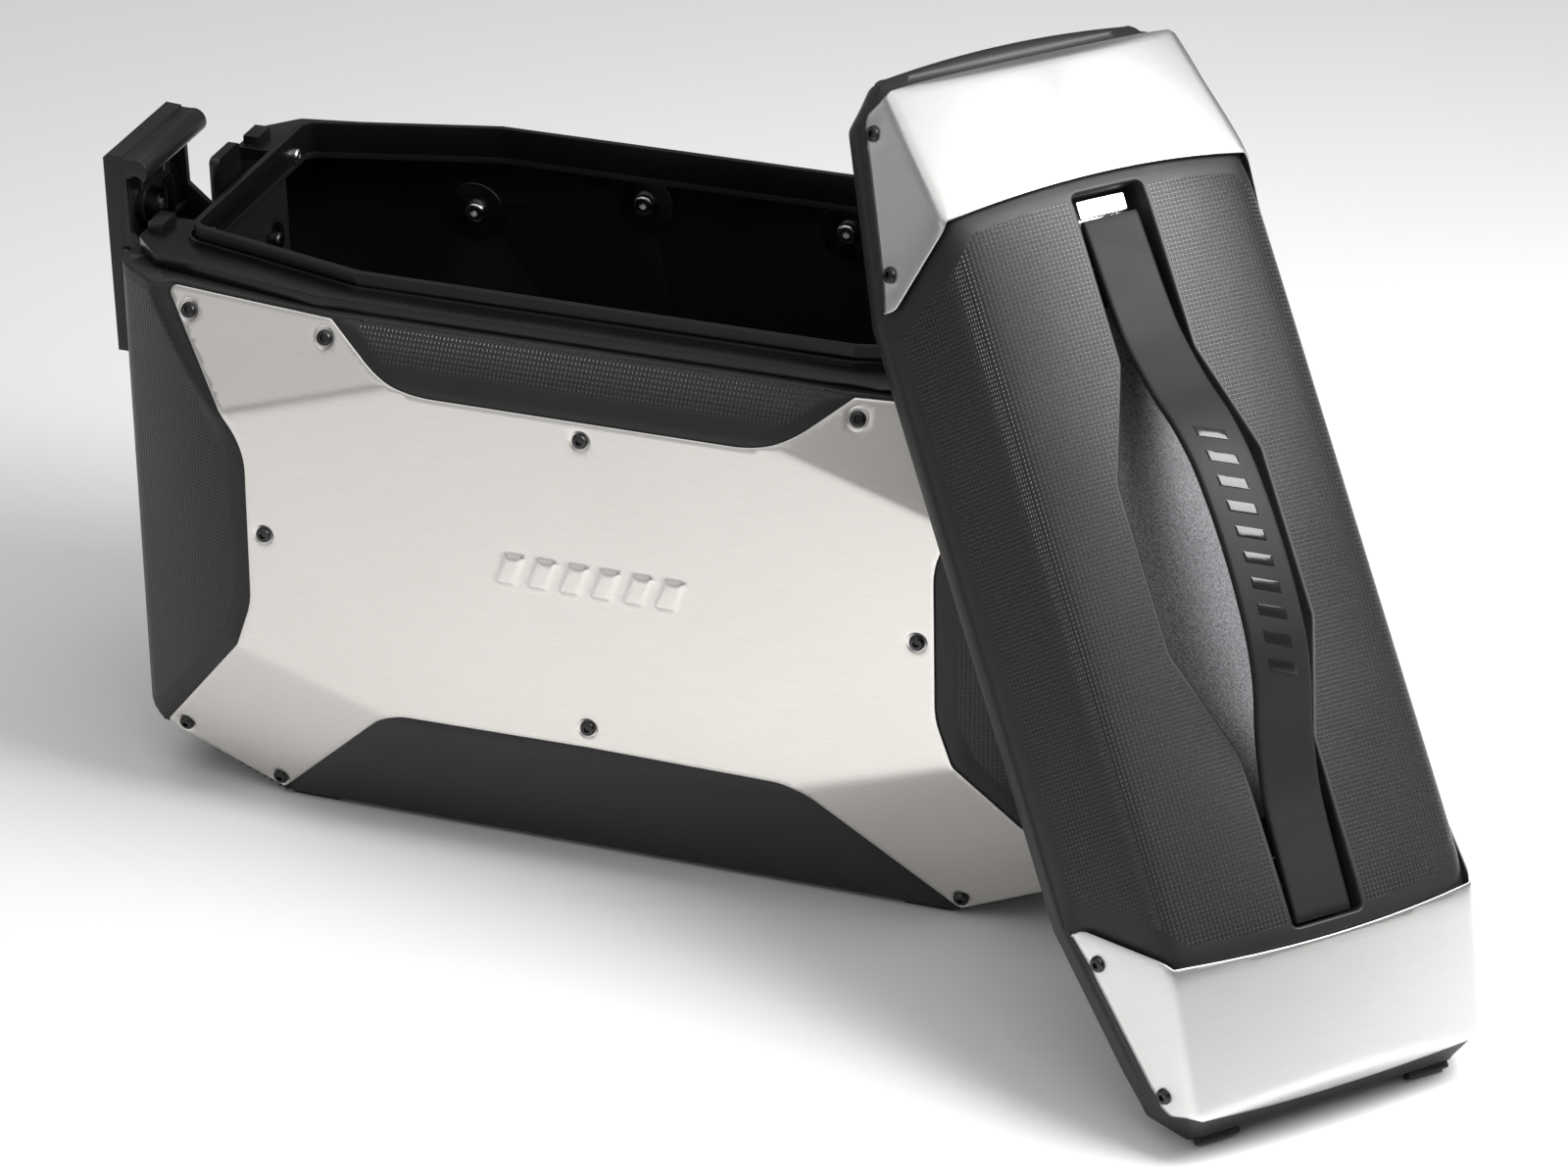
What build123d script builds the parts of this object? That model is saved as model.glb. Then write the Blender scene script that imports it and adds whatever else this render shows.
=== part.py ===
from build123d import *
import math
import os

# Motorcycle side case (pannier) with its lid off: left latch open, right latch closed.
# Millimetres. Origin on the ground under the middle of the case's rim.
# +X along the case, +Y towards the motorcycle, +Z up.

os.makedirs("parts", exist_ok=True)

# ------------------------------------------------------------------ case body
FRONT_Y = -119.4            # front face at mid height
FRONT_MID_Z = 164.0
FRONT_LEAN = 0.0245         # the front face comes forward by this much per mm of drop
BACK_Y = 103.0
END_X = 249.0
SHELL_TOP = 272.5
SHELL_BOTTOM = 3.0
WALL = 3.2
WING_START_X = 177.0        # where the front corners start to turn back
WING_SLOPE = 0.52
REAR_BEND_X = 165.0
REAR_SLOPE = 0.21
SCOOP_Z = 244.5             # top edge of the panel between its arms
SCOOP_SLOPE = 0.62
SKIRT_Z = 74.7              # bottom edge of the panel between its arms
SKIRT_FOOT_Y = -92.6
END_CHAMFER_X = 172.0       # the floor turns up towards both ends from here
END_CHAMFER_SLOPE = 0.45

# panel arms: inner and outer ends of each crease, and a point at the arm's tip
TOP_CREASE_IN = (105, 245.0)
TOP_CREASE_OUT = (180, 221.0)
TOP_ARM_TIP = (128.4, -103.6, 271.0)
BOTTOM_CREASE_IN = (105, 73.0)
BOTTOM_CREASE_OUT = (181, 98.0)
BOTTOM_ARM_TIP = (172.0, -92.3, 1.5)

# ------------------------------------------------------------------ rim
LEDGE_Z = 279.5
TONGUE_TOP = 288.0
TONGUE_W, TONGUE_BEND, TONGUE_END, TONGUE_END_W = 88.0, 123.0, 220.0, 64.0
TONGUE_T = 3.0
RIM_OUT = ((139.0, 99.5), (230.0, 83.0), (246.0, 66.5))

# ------------------------------------------------------------------ latch bay and latch
BAY_HALF_W = 42.0
BAY_X = 225.0
BAY_FLOOR = 196.0
LEVER_HALF_W = 33.0
LEVER_OUT_X = 280.0
LEVER_BOTTOM, LEVER_TOP = 198.0, 303.0
LEVER_SKIN = 3.0
LEVER_STROKE = 14.0         # degrees between open (left latch) and closed (right latch)
PIVOT_X, PIVOT_Z = 264.0, 214.0
STOP_X, STOP_Z = 271.0, 251.0
PIN_R = 2.5
RUNNING = 0.05
LOCK_Z = 264.0
LOCK_R = 8.0
ROTOR_R = 5.5
ROTOR_LENGTH = 16.6
LATCH_SCREW_Y, LATCH_SCREW_Z = 27.5, 239.0

# ------------------------------------------------------------------ front panel
PANEL_T = 1.5
PANEL_SCREW_R = 2.0
PANEL_HEAD_R, PANEL_HEAD_H = 3.8, 2.0

# ------------------------------------------------------------------ lid (its own frame, rim plane at z = 0)
LID_OUT = ((139.0, 97.5), (228.0, 81.0), (244.0, 65.0))
LID_SHOULDER = (171.8, 76.5, 56.0)
LID_CORNER = (238.0, 73.0, 28.5)
LID_FLAP_TIP = (139.3, 98.2, 12.0)
LID_BAND = 10.0
LID_CROWN_TOP = 65.0
LID_CROWN_R = 325.0
LID_SLOPE_R = 352.0
LID_WALL = 3.0
LID_PLATE_T = 1.2
RECESS_END, RECESS_HALF_W = 168.5, 17.8
RECESS_MID_X, RECESS_MID_HALF_W = 39.0, 36.0
RECESS_NECK_X = 90.0
RECESS_DEPTH = 17.0
STRAP_W, STRAP_T = 28.5, 4.0
STRAP_ENDS = (-156.0, 166.5)
STRAP_END_Z = 57.0
# rise of the strap above its ends at distances from its middle
STRAP_RISE = (
    (0, 39), (25, 37.5), (42, 34.5), (60, 27.5), (75, 18.5), (90, 11.5), (105, 6), (120, 3.6), (140, 1.8)
)

# how the loose lid stands: on the catches of one end, leaning back on the case
LID_YAW = 47.24
LID_LEAN = 53.19
LID_ORIGIN_XY = (267.4, -91.5)
CATCH_X, CATCH_Z = 247.4, 3.5

# ------------------------------------------------------------------ carrier mounting on the back
HOOK_TUBE_R = 9.0
HOOK_Z = 214.0
HOOK_Y = 121.0
HOOK_SCREWS = ((144.0, 235.0), (53.0, 252.0))
LOCK_PLATE_Z = 62.0
M6_R = 3.0
WASHER_R, WASHER_T = 15.0, 1.6
CENTRE_PAD_R = 20.0

BIG = 1600
UPWARD = (Align.CENTER, Align.CENTER, Align.MIN)
DOWNWARD = (Align.CENTER, Align.CENTER, Align.MAX)


def half_space(point, normal):
    """A huge block filling the outer side of a plane."""
    plane = Plane(origin=point, z_dir=normal)
    return plane.location * Box(BIG, BIG, BIG, align=UPWARD)


def plane_through(a, b, c, inside):
    """Plane through three points whose normal points away from the inside point."""
    a, b, c, inside = Vector(a), Vector(b), Vector(c), Vector(inside)
    normal = (b - a).cross(c - a).normalized()
    if normal.dot(inside - a) > 0:
        normal = normal * -1
    return a, normal


def flip_x(plane):
    point, normal = plane
    return Vector(-point.X, point.Y, point.Z), Vector(-normal.X, normal.Y, normal.Z)


def flip_y(plane):
    point, normal = plane
    return Vector(point.X, -point.Y, point.Z), Vector(normal.X, -normal.Y, normal.Z)


def inside_planes(block, planes, grow=0.0):
    """The block cut back to the inner side of every plane, each moved outwards by grow."""
    for point, normal in planes:
        block = block - half_space(point + normal * grow, normal)
    return block


def ring_points(corners):
    """Closed outline, symmetric in both axes, from the corners of its first quarter."""
    first = list(corners)
    second = [(-x, y) for x, y in reversed(first)]
    third = [(-x, -y) for x, y in first]
    fourth = [(x, -y) for x, y in reversed(first)]
    return first[::-1] + second[::-1] + third[::-1] + fourth[::-1]


def outline(corners, radius, grow=0.0):
    """Flat face of the doubly symmetric outline with rounded corners."""
    face = make_face(Polyline(*ring_points(corners), close=True))
    face = fillet(face.vertices(), radius)
    if grow:
        face = offset(face, grow, kind=Kind.ARC)
    return face


def slab(face, z0, z1):
    return Pos(0, 0, z0) * extrude(face, z1 - z0)


def place(point, normal, solid):
    """Put a solid modelled along +Z onto a point with its +Z along the normal."""
    return Plane(origin=point, z_dir=normal).location * solid


def mirror_x(solid):
    return mirror(solid, about=Plane.YZ)


def button_screw(head_r, head_h, shank_r, length, hex_drive=True):
    """Screw along -Z with its head standing on z = 0."""
    head = Cylinder(head_r, head_h, align=UPWARD)
    head = fillet(head.edges().group_by(Axis.Z)[-1], head_h * 0.62)
    if hex_drive:
        drive = extrude(RegularPolygon(head_r * 0.38, 6), head_h)
    else:
        star = Circle(head_r * 0.34) + PolarLocations(head_r * 0.34, 6) * Circle(head_r * 0.11)
        drive = extrude(star, head_h)
    head = head - Pos(0, 0, head_h * 0.35) * drive
    shank = Cylinder(shank_r, length, align=DOWNWARD)
    return head + shank


def save(name, *solids):
    shape = solids[0] if len(solids) == 1 else Compound(children=list(solids))
    export_step(shape, f"parts/{name}.step")


# ================================================================== case body planes
def front_y(z):
    return FRONT_Y + FRONT_LEAN * (z - FRONT_MID_Z)


INSIDE = (0, -10, 150)
FRONT = plane_through((0, front_y(0), 0), (100, front_y(0), 0), (0, front_y(200), 200), INSIDE)


def on_front(corner):
    return (corner[0], front_y(corner[1]), corner[1])


TOP_ARM = plane_through(on_front(TOP_CREASE_IN), on_front(TOP_CREASE_OUT), TOP_ARM_TIP, INSIDE)
BOTTOM_ARM = plane_through(
    on_front(BOTTOM_CREASE_IN), on_front(BOTTOM_CREASE_OUT), BOTTOM_ARM_TIP, INSIDE
)
WING = plane_through(
    (WING_START_X, front_y(0), 0),
    (WING_START_X, front_y(200), 200),
    (WING_START_X + 100, front_y(0) + 100 * WING_SLOPE, 0),
    INSIDE,
)
REAR_WING = plane_through(
    (REAR_BEND_X, BACK_Y, 0),
    (REAR_BEND_X, BACK_Y, 100),
    (REAR_BEND_X + 100, BACK_Y - 100 * REAR_SLOPE, 0),
    INSIDE,
)
SCOOP = plane_through(
    (0, front_y(SCOOP_Z), SCOOP_Z),
    (50, front_y(SCOOP_Z), SCOOP_Z),
    (0, front_y(SCOOP_Z) + 10 * SCOOP_SLOPE, SCOOP_Z + 10),
    INSIDE,
)
SKIRT = plane_through(
    (0, front_y(SKIRT_Z), SKIRT_Z),
    (50, front_y(SKIRT_Z), SKIRT_Z),
    (0, SKIRT_FOOT_Y, SHELL_BOTTOM),
    INSIDE,
)
END = (Vector(END_X, 0, 0), Vector(1, 0, 0))
END_CHAMFER = plane_through(
    (END_CHAMFER_X, 0, 1.5),
    (END_CHAMFER_X, 50, 1.5),
    (END_CHAMFER_X + 100, 0, 1.5 + 100 * END_CHAMFER_SLOPE),
    INSIDE,
)
BACK = (Vector(0, BACK_Y, 0), Vector(0, 1, 0))
FLOOR = (Vector(0, 0, SHELL_BOTTOM), Vector(0, 0, -1))

UNDERSIDE = [BACK, FLOOR, END_CHAMFER, flip_x(END_CHAMFER)]
RIGHT_END = [TOP_ARM, BOTTOM_ARM, WING, REAR_WING, END]
OUTSIDE = [FRONT, SCOOP, SKIRT] + RIGHT_END + [flip_x(p) for p in RIGHT_END]


def case_block(grow, top, skin=False):
    """The case's outer form moved out by grow; for a skin, the back and underside stay."""
    raw = Pos(0, 0, -60) * Box(700, 420, top + 60, align=UPWARD)
    return inside_planes(inside_planes(raw, OUTSIDE, grow), UNDERSIDE, 0 if skin else grow)


def bay_block(grow):
    """The recess in one end for the latch, open outwards and upwards."""
    block = Box(60, 2 * (BAY_HALF_W + grow), 200, align=(Align.MIN, Align.CENTER, Align.MIN))
    return Pos(BAY_X - grow, 0, BAY_FLOOR - grow) * block


# ================================================================== panel screws
def point_on(plane, x, z):
    """Point of a sloping front plane above the given x and z."""
    origin, normal = plane
    y = origin.Y - (normal.X * (x - origin.X) + normal.Z * (z - origin.Z)) / normal.Y
    return Vector(x, y, z)


def panel_screw_places():
    """Each screw's point on the case's outer faces, and the outward normal there."""
    quarter = [
        (TOP_ARM, 205.5, 261.0),
        (TOP_ARM, 131.5, 262.0),
        (FRONT, 163.6, 159.5),
        (BOTTOM_ARM, 224.5, 33.0),
        (BOTTOM_ARM, 176.0, 10.5),
    ]
    places = []
    for plane, x, z in quarter:
        for side in (1, -1):
            point, normal = point_on(plane, x, z), plane[1]
            point = Vector(side * point.X, point.Y, point.Z)
            places.append((point, Vector(side * normal.X, normal.Y, normal.Z)))
    for z in (235.0, 85.0):
        places.append((point_on(FRONT, 0, z), FRONT[1]))
    return places


PANEL_SCREWS = panel_screw_places()

# ================================================================== case shell
rim_outer = outline(RIM_OUT, 5)
tongue_corners = ((TONGUE_BEND, TONGUE_W), (TONGUE_END, TONGUE_END_W))
tongue_outer = outline(tongue_corners, 9)
tongue_inner = outline(tongue_corners, 9, -TONGUE_T)

shell = case_block(0, SHELL_TOP)
hollow = case_block(-WALL, SHELL_TOP - WALL)
for side in (False, True):
    bay = bay_block(0)
    bay_wall = bay_block(WALL)
    shell = shell - (mirror_x(bay) if side else bay)
    hollow = hollow - (mirror_x(bay_wall) if side else bay_wall)
shell = shell - hollow - slab(tongue_inner, 200, 300)
for point, normal in PANEL_SCREWS:
    shell = shell - place(point, normal, Cylinder(PANEL_SCREW_R + 0.1, 12))

hook_holes = [(side * x, z) for x, z in HOOK_SCREWS for side in (1, -1)]
lock_holes = [(side * 24.0, LOCK_PLATE_Z) for side in (1, -1)]
for x, z in hook_holes + lock_holes:
    shell = shell - place((x, BACK_Y, z), (0, 1, 0), Cylinder(M6_R + 0.1, 20))
for side in (1, -1):
    for y in (LATCH_SCREW_Y, -LATCH_SCREW_Y):
        shell = shell - place((side * BAY_X, y, LATCH_SCREW_Z), (1, 0, 0), Cylinder(2.6, 20))
save("case_shell", shell)

# ================================================================== rim frame
frame = slab(rim_outer, SHELL_TOP, LEDGE_Z) - slab(tongue_inner, 200, 300)
frame = frame + slab(tongue_outer - tongue_inner, LEDGE_Z, TONGUE_TOP)
ridge = outline(tongue_corners, 9, 3.0) - outline(tongue_corners, 9, 1.6)
frame = frame + slab(ridge, LEDGE_Z, LEDGE_Z + 2.6)
for side in (1, -1):
    notch = Pos(side * (BAY_X + 30), 0, 200) * Box(60, 2 * BAY_HALF_W, 200)
    frame = frame - notch
    neck = Pos(side * (BAY_X + 4), 0, (SHELL_TOP + LEDGE_Z) / 2) * Box(10, 24, LEDGE_Z - SHELL_TOP)
    post = Pos(side * (BAY_X + 6.5), 0, 286.5) * Box(5, 24, 22)
    post = fillet(post.edges().filter_by(Axis.X).group_by(Axis.Z)[-1], 3)
    frame = frame + neck + post
    for y in (53, -53):
        frame = frame + Pos(side * 240, y, LEDGE_Z + 2) * Box(8, 14, 5)

# corner screws that hold the frame to the shell, seen from inside the case
frame_screws = []
for sx in (1, -1):
    for sy in (1, -1):
        point = (sx * (TONGUE_END - TONGUE_T), sy * 48, 276)
        frame_screws.append(place(point, (-sx, 0, 0), button_screw(3.6, 2.2, 1.6, 8)))
for screw in frame_screws:
    frame = frame - screw
save("rim_frame", frame)
save("rim_frame_screws", *frame_screws)

# ================================================================== front panel
def front_blank():
    """Outline of the pressed sheet, seen from the front: four arms round a wide field."""
    half = [
        (0, SCOOP_Z),
        (98, SCOOP_Z),
        (129, 271.3),
        (217.5, 271.0),
        (171.6, 204),
        (172.6, 122),
        (181, 98),
        (236.5, 29.5),
        (172, 0.0),
        (104, SKIRT_Z - 1.2),
        (0, SKIRT_Z),
    ]
    radii = [None, 17, 3, 6, 34, 34, 8, 3, 3, 26, None]
    points = half + [(-x, z) for x, z in half[-2:0:-1]]
    radii = radii + radii[-2:0:-1]
    face = Plane.XZ * make_face(Polyline(*points, close=True))
    for (x, z), radius in zip(points, radii):
        if radius:
            corner = face.vertices().sort_by_distance(Vector(x, 0, z))[0]
            face = fillet(corner, radius)
    return face


panel = case_block(PANEL_T, SHELL_TOP - 0.5, skin=True)
panel = (panel - case_block(0, SHELL_TOP + 5)) & extrude(front_blank(), 200)
for point, normal in PANEL_SCREWS:
    panel = panel - place(point, normal, Cylinder(PANEL_SCREW_R + 0.1, 12))
save("front_panel", panel)

screws = []
for point, normal in PANEL_SCREWS:
    seat = point + normal * PANEL_T
    screws.append(place(seat, normal, button_screw(PANEL_HEAD_R, PANEL_HEAD_H, PANEL_SCREW_R, 9, False)))
save("front_panel_screws", *screws)

# ================================================================== feet
feet = []
for x in (159, -159):
    for y in (-78, 84):
        pad = Pos(x, y, 0) * Box(26, 28, SHELL_BOTTOM, align=UPWARD)
        feet.append(chamfer(pad.edges().filter_by(Axis.Y).group_by(Axis.Z)[0], 1.2))
feet.append(Cylinder(CENTRE_PAD_R, SHELL_BOTTOM, align=UPWARD))
save("base_feet", *feet)


# ================================================================== latches, modelled on the +X end
def pin_y(x, z, radius, half_length):
    return Pos(x, 0, z) * Rot(90, 0, 0) * Cylinder(radius, 2 * half_length)


def bar(x0, x1, y0, y1, z0, z1):
    return Pos(x0, y0, z0) * Box(x1 - x0, y1 - y0, z1 - z0, align=(Align.MIN, Align.MIN, Align.MIN))


def latch_base():
    plate = bar(BAY_X, BAY_X + 3, -34, 34, 203, 262)
    base = plate
    for y in (1, -1):
        ear = bar(BAY_X, PIVOT_X + 6, min(y * 22, y * 28), max(y * 22, y * 28), 208.5, 220.5)
        ear = fillet(ear.edges().filter_by(Axis.Y).group_by(Axis.X)[-1], 5.5)
        web = bar(BAY_X, BAY_X + 16, min(y * 29.5, y * 32.5), max(y * 29.5, y * 32.5), 203, 262)
        base = base + ear + web
    base = base - pin_y(PIVOT_X, PIVOT_Z, PIN_R + RUNNING, 60)
    for y in (LATCH_SCREW_Y, -LATCH_SCREW_Y):
        base = base - place((BAY_X, y, LATCH_SCREW_Z), (1, 0, 0), Cylinder(2.6, 20))
    return base


def latch_lever():
    """Deep hollow lever: outer skin, two cheeks and a rolled hook lip along the top."""
    x = LEVER_OUT_X
    profile = Polyline(
        (x, LEVER_BOTTOM),
        (x, LEVER_TOP - 2),
        (x - 2, LEVER_TOP),
        (x - 10, LEVER_TOP - 0.5),
        (x - 11.5, LEVER_TOP - 4),
        (x - 12, 262),
        (x - 26, 250),
        (x - 27, LEVER_BOTTOM + 3),
        (x - 20, LEVER_BOTTOM),
        close=True,
    )
    solid = extrude(Plane.XZ * make_face(profile), LEVER_HALF_W, both=True)
    pocket_w = LEVER_HALF_W - LEVER_SKIN
    solid = solid - bar(x - 40, x - LEVER_SKIN, -pocket_w, pocket_w, LEVER_BOTTOM + 4, 288)
    lip = Pos(x - 17, 0, 295.5) * Rot(90, 0, 0) * Cylinder(6.2, 2 * LEVER_HALF_W)
    lip = lip + bar(x - 17, x - 8, -LEVER_HALF_W, LEVER_HALF_W, 292, LEVER_TOP - 1.5)
    lip = lip - Pos(x - 16.5, 0, 289) * Rot(90, 0, 0) * Cylinder(4.2, 3 * LEVER_HALF_W)
    solid = solid + lip
    for y in (-12, 12):
        solid = solid + bar(x - 9, x - LEVER_SKIN, y - 1, y + 1, 276, 290)
    boss = Cylinder(LOCK_R + 2.5, 4, align=UPWARD)
    boss = place((x - LEVER_SKIN, 0, LOCK_Z), (-1, 0, 0), boss)
    solid = solid + boss
    solid = solid - place((x, 0, LOCK_Z), (1, 0, 0), Cylinder(LOCK_R, 40))
    solid = solid - pin_y(PIVOT_X, PIVOT_Z, PIN_R, 60) - pin_y(STOP_X, STOP_Z, PIN_R, 60)
    return solid


def headed_pin(x, z):
    pin = pin_y(x, z, PIN_R, LEVER_HALF_W + 0.2)
    for y in (1, -1):
        head = Pos(x, y * (LEVER_HALF_W + 0.6), z) * Rot(90, 0, 0) * Cylinder(3.4, 1.2)
        pin = pin + head
    return pin


def latch_spring():
    coil = Pos(PIVOT_X, 10, PIVOT_Z) * Rot(90, 0, 0) * (Cylinder(5.2, 22) - Cylinder(3.6, 22))
    return coil


def lock_barrel():
    face = (LEVER_OUT_X, 0, LOCK_Z)
    body = place(face, (-1, 0, 0), Cylinder(LOCK_R, 14, align=UPWARD))
    rim = place(face, (1, 0, 0), Cylinder(LOCK_R + 1.5, 0.8, align=UPWARD))
    return body + rim - place(face, (1, 0, 0), Cylinder(ROTOR_R + RUNNING, 60))


def lock_rotor():
    rotor = Cylinder(ROTOR_R, ROTOR_LENGTH, align=UPWARD)
    rotor = place((LEVER_OUT_X + 0.6, 0, LOCK_Z), (-1, 0, 0), rotor)
    keyway = Pos(LEVER_OUT_X, 0, LOCK_Z) * Box(8, 1.6, 6.5)
    return rotor - keyway


def lock_cam():
    x0 = LEVER_OUT_X + 0.6 - ROTOR_LENGTH
    disc = place((x0, 0, LOCK_Z), (-1, 0, 0), Cylinder(5.0, 2, align=UPWARD))
    return disc + bar(x0 - 2, x0, -4, 4, LOCK_Z, LOCK_Z + 15)


def latch_fasteners():
    found = []
    for y in (LATCH_SCREW_Y, -LATCH_SCREW_Y):
        seat = (BAY_X - WALL - WASHER_T, y, LATCH_SCREW_Z)
        found.append(place(seat, (-1, 0, 0), button_screw(4.6, 3.0, 2.5, 7)))
    return found


def latch_washers():
    found = []
    for y in (LATCH_SCREW_Y, -LATCH_SCREW_Y):
        ring = Cylinder(9, WASHER_T, align=UPWARD) - Cylinder(2.6, 10)
        found.append(place((BAY_X - WALL, y, LATCH_SCREW_Z), (-1, 0, 0), ring))
    return found


LEVER_PIECES = (
    "latch_lever", "latch_pivot_pin", "latch_stop_pin", "lock_barrel", "lock_rotor", "lock_cam"
)
LATCH_PIECES = {
    "latch_base": [latch_base()],
    "latch_lever": [latch_lever()],
    "latch_pivot_pin": [headed_pin(PIVOT_X, PIVOT_Z)],
    "latch_stop_pin": [headed_pin(STOP_X, STOP_Z)],
    "latch_spring": [latch_spring()],
    "lock_barrel": [lock_barrel()],
    "lock_rotor": [lock_rotor()],
    "lock_cam": [lock_cam()],
    "latch_screws": latch_fasteners(),
    "latch_washers": latch_washers(),
}


def close_latch(solid):
    """Turn a lever piece about the pivot from open to closed."""
    return Pos(PIVOT_X, 0, PIVOT_Z) * Rot(0, -LEVER_STROKE, 0) * Pos(-PIVOT_X, 0, -PIVOT_Z) * solid


for piece, solids in LATCH_PIECES.items():
    save("left_" + piece, *[mirror_x(solid) for solid in solids])
    if piece in LEVER_PIECES:
        solids = [close_latch(solid) for solid in solids]
    save("right_" + piece, *solids)


# ================================================================== carrier hooks on the back
def carrier_hook():
    """Plate with a jaw, open downwards, that hangs over the carrier's upper tube."""
    plate = bar(40, 157, BACK_Y, BACK_Y + 5, 205, 264)
    plate = fillet(plate.edges().filter_by(Axis.Y), 8)
    arm = bar(70, 130, BACK_Y, HOOK_Y + 13, HOOK_Z - 4, HOOK_Z + 13)
    arm = fillet(arm.edges().filter_by(Axis.X).group_by(Axis.Y)[-1].group_by(Axis.Z)[-1], 8)
    throat = bar(60, 140, HOOK_Y - HOOK_TUBE_R, HOOK_Y + HOOK_TUBE_R, HOOK_Z - 30, HOOK_Z)
    seat = Pos(100, HOOK_Y, HOOK_Z) * Rot(0, 90, 0) * Cylinder(HOOK_TUBE_R, 100)
    hook = plate + (arm - throat - seat)
    for x, z in HOOK_SCREWS:
        hook = hook - place((x, BACK_Y, z), (0, 1, 0), Cylinder(M6_R, 20))
    return hook


hook = carrier_hook()
save("right_carrier_hook", hook)
save("left_carrier_hook", mirror_x(hook))

# ------------------------------------------------------------------ lower carrier lock
lock_box = bar(-34, 34, BACK_Y, BACK_Y + 20, LOCK_PLATE_Z - 22, LOCK_PLATE_Z + 22)
lock_box = fillet(lock_box.edges().filter_by(Axis.Y), 5)
bolt_slot = bar(-8.3, 8.3, BACK_Y + 7.7, BACK_Y + 16.3, LOCK_PLATE_Z - 60, LOCK_PLATE_Z + 14)
lock_box = lock_box - bolt_slot
finger_slot = bar(-3.3, 3.3, BACK_Y + 12, BACK_Y + 30, LOCK_PLATE_Z - 12, LOCK_PLATE_Z + 9)
lock_box = lock_box - finger_slot
for x, z in lock_holes:
    lock_box = lock_box - place((x, BACK_Y, z), (0, 1, 0), Cylinder(M6_R, 24))
save("carrier_lock_housing", lock_box)
lock_bolt = bar(-8, 8, BACK_Y + 8, BACK_Y + 16, LOCK_PLATE_Z - 32, LOCK_PLATE_Z + 1)
lock_bolt = lock_bolt + bar(-3, 3, BACK_Y + 12, BACK_Y + 24, LOCK_PLATE_Z - 8, LOCK_PLATE_Z - 2)
save("carrier_lock_bolt", lock_bolt)
lock_spring = Pos(0, BACK_Y + 12, LOCK_PLATE_Z + 7.5) * (Cylinder(3.2, 12.6) - Cylinder(2.2, 20))
save("carrier_lock_spring", lock_spring)

carrier_screws = []
carrier_washers = []
for x, z in hook_holes + lock_holes:
    inner = BACK_Y - WALL
    ring = Cylinder(WASHER_R, WASHER_T, align=UPWARD) - Cylinder(M6_R + 0.2, 10)
    carrier_washers.append(place((x, inner, z), (0, -1, 0), ring))
    screw = button_screw(5.5, 3.4, M6_R, WALL + WASHER_T + 4.5)
    carrier_screws.append(place((x, inner - WASHER_T, z), (0, -1, 0), screw))
save("carrier_washers", *carrier_washers)
save("carrier_screws", *carrier_screws)

# ================================================================== lid, in its own frame
LID_INSIDE = (0, 0, 20)
shoulder, corner, tip = LID_SHOULDER, LID_CORNER, LID_FLAP_TIP
LID_FLAP = plane_through(shoulder, corner, tip, LID_INSIDE)
LID_SIDE = plane_through(
    (0, shoulder[1], shoulder[2] + 1.5), (50, shoulder[1], shoulder[2] + 1.5), (0, tip[1], tip[2]), LID_INSIDE
)
slope_angle = math.atan((shoulder[2] - corner[2]) / (corner[0] - shoulder[0]))
LID_END = plane_through(
    (corner[0], 0, corner[2]), (corner[0], 50, corner[2]), (LID_OUT[2][0], 0, LID_BAND), LID_INSIDE
)
LID_PLANES = [LID_END, flip_x(LID_END), LID_SIDE, flip_y(LID_SIDE)]
LID_PLANES += [LID_FLAP, flip_x(LID_FLAP), flip_y(LID_FLAP), flip_x(flip_y(LID_FLAP))]


def slope_barrel(grow):
    """Barrel whose upper side is the crowned slope at one end of the lid."""
    down = math.sin(slope_angle), math.cos(slope_angle)
    start = (
        shoulder[0] - LID_SLOPE_R * down[0],
        0,
        LID_CROWN_TOP - LID_SLOPE_R * down[1],
    )
    axis = Plane(origin=start, x_dir=(0, 1, 0), z_dir=(down[1], 0, -down[0]))
    return axis.location * Cylinder(LID_SLOPE_R + grow, 1200)


def lid_block(grow, bottom=0.0):
    crown = Pos(0, 0, LID_CROWN_TOP - LID_CROWN_R) * Rot(0, 90, 0) * Cylinder(LID_CROWN_R + grow, 520)
    raw = slab(outline(LID_OUT, 5, grow), bottom, 100) & crown
    barrel = slope_barrel(grow)
    raw = raw & barrel & mirror_x(barrel)
    return inside_planes(raw, LID_PLANES, grow)


def recess_outline(grow=0.0):
    """Handle recess seen from above: a long slot with a wider middle for the fingers."""
    x0, x1, x2 = RECESS_MID_X, RECESS_NECK_X, RECESS_END
    w0, w1 = RECESS_MID_HALF_W, RECESS_HALF_W
    quarter = [(x2, w1), (x1, w1 + 0.5), (x0, w0)]
    face = make_face(Polyline(*ring_points(quarter[::-1]), close=True))
    face = fillet(face.vertices(), 3)
    if grow:
        face = offset(face, grow, kind=Kind.ARC)
    return face


recess_floor = LID_CROWN_TOP - RECESS_DEPTH
lid_hollow = lid_block(-LID_WALL, -1.0) - slab(recess_outline(LID_WALL), recess_floor - LID_WALL, 90)
lid = lid_block(0) - lid_hollow
lid = lid - slab(recess_outline(), recess_floor, 90)


def plate_screw_places():
    places = []
    for x, z in ((222.0, 20.2), (158.5, 20.6)):
        origin, normal = LID_FLAP
        y = origin.Y - (normal.X * (x - origin.X) + normal.Z * (z - origin.Z)) / normal.Y
        for sx in (1, -1):
            for sy in (1, -1):
                seat = Vector(sx * x, sy * y, z)
                places.append((seat, Vector(sx * normal.X, sy * normal.Y, normal.Z)))
    return places


LID_SCREWS = plate_screw_places()
for point, normal in LID_SCREWS:
    lid = lid - place(point, normal, Cylinder(PANEL_SCREW_R + 0.1, 12))

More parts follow.
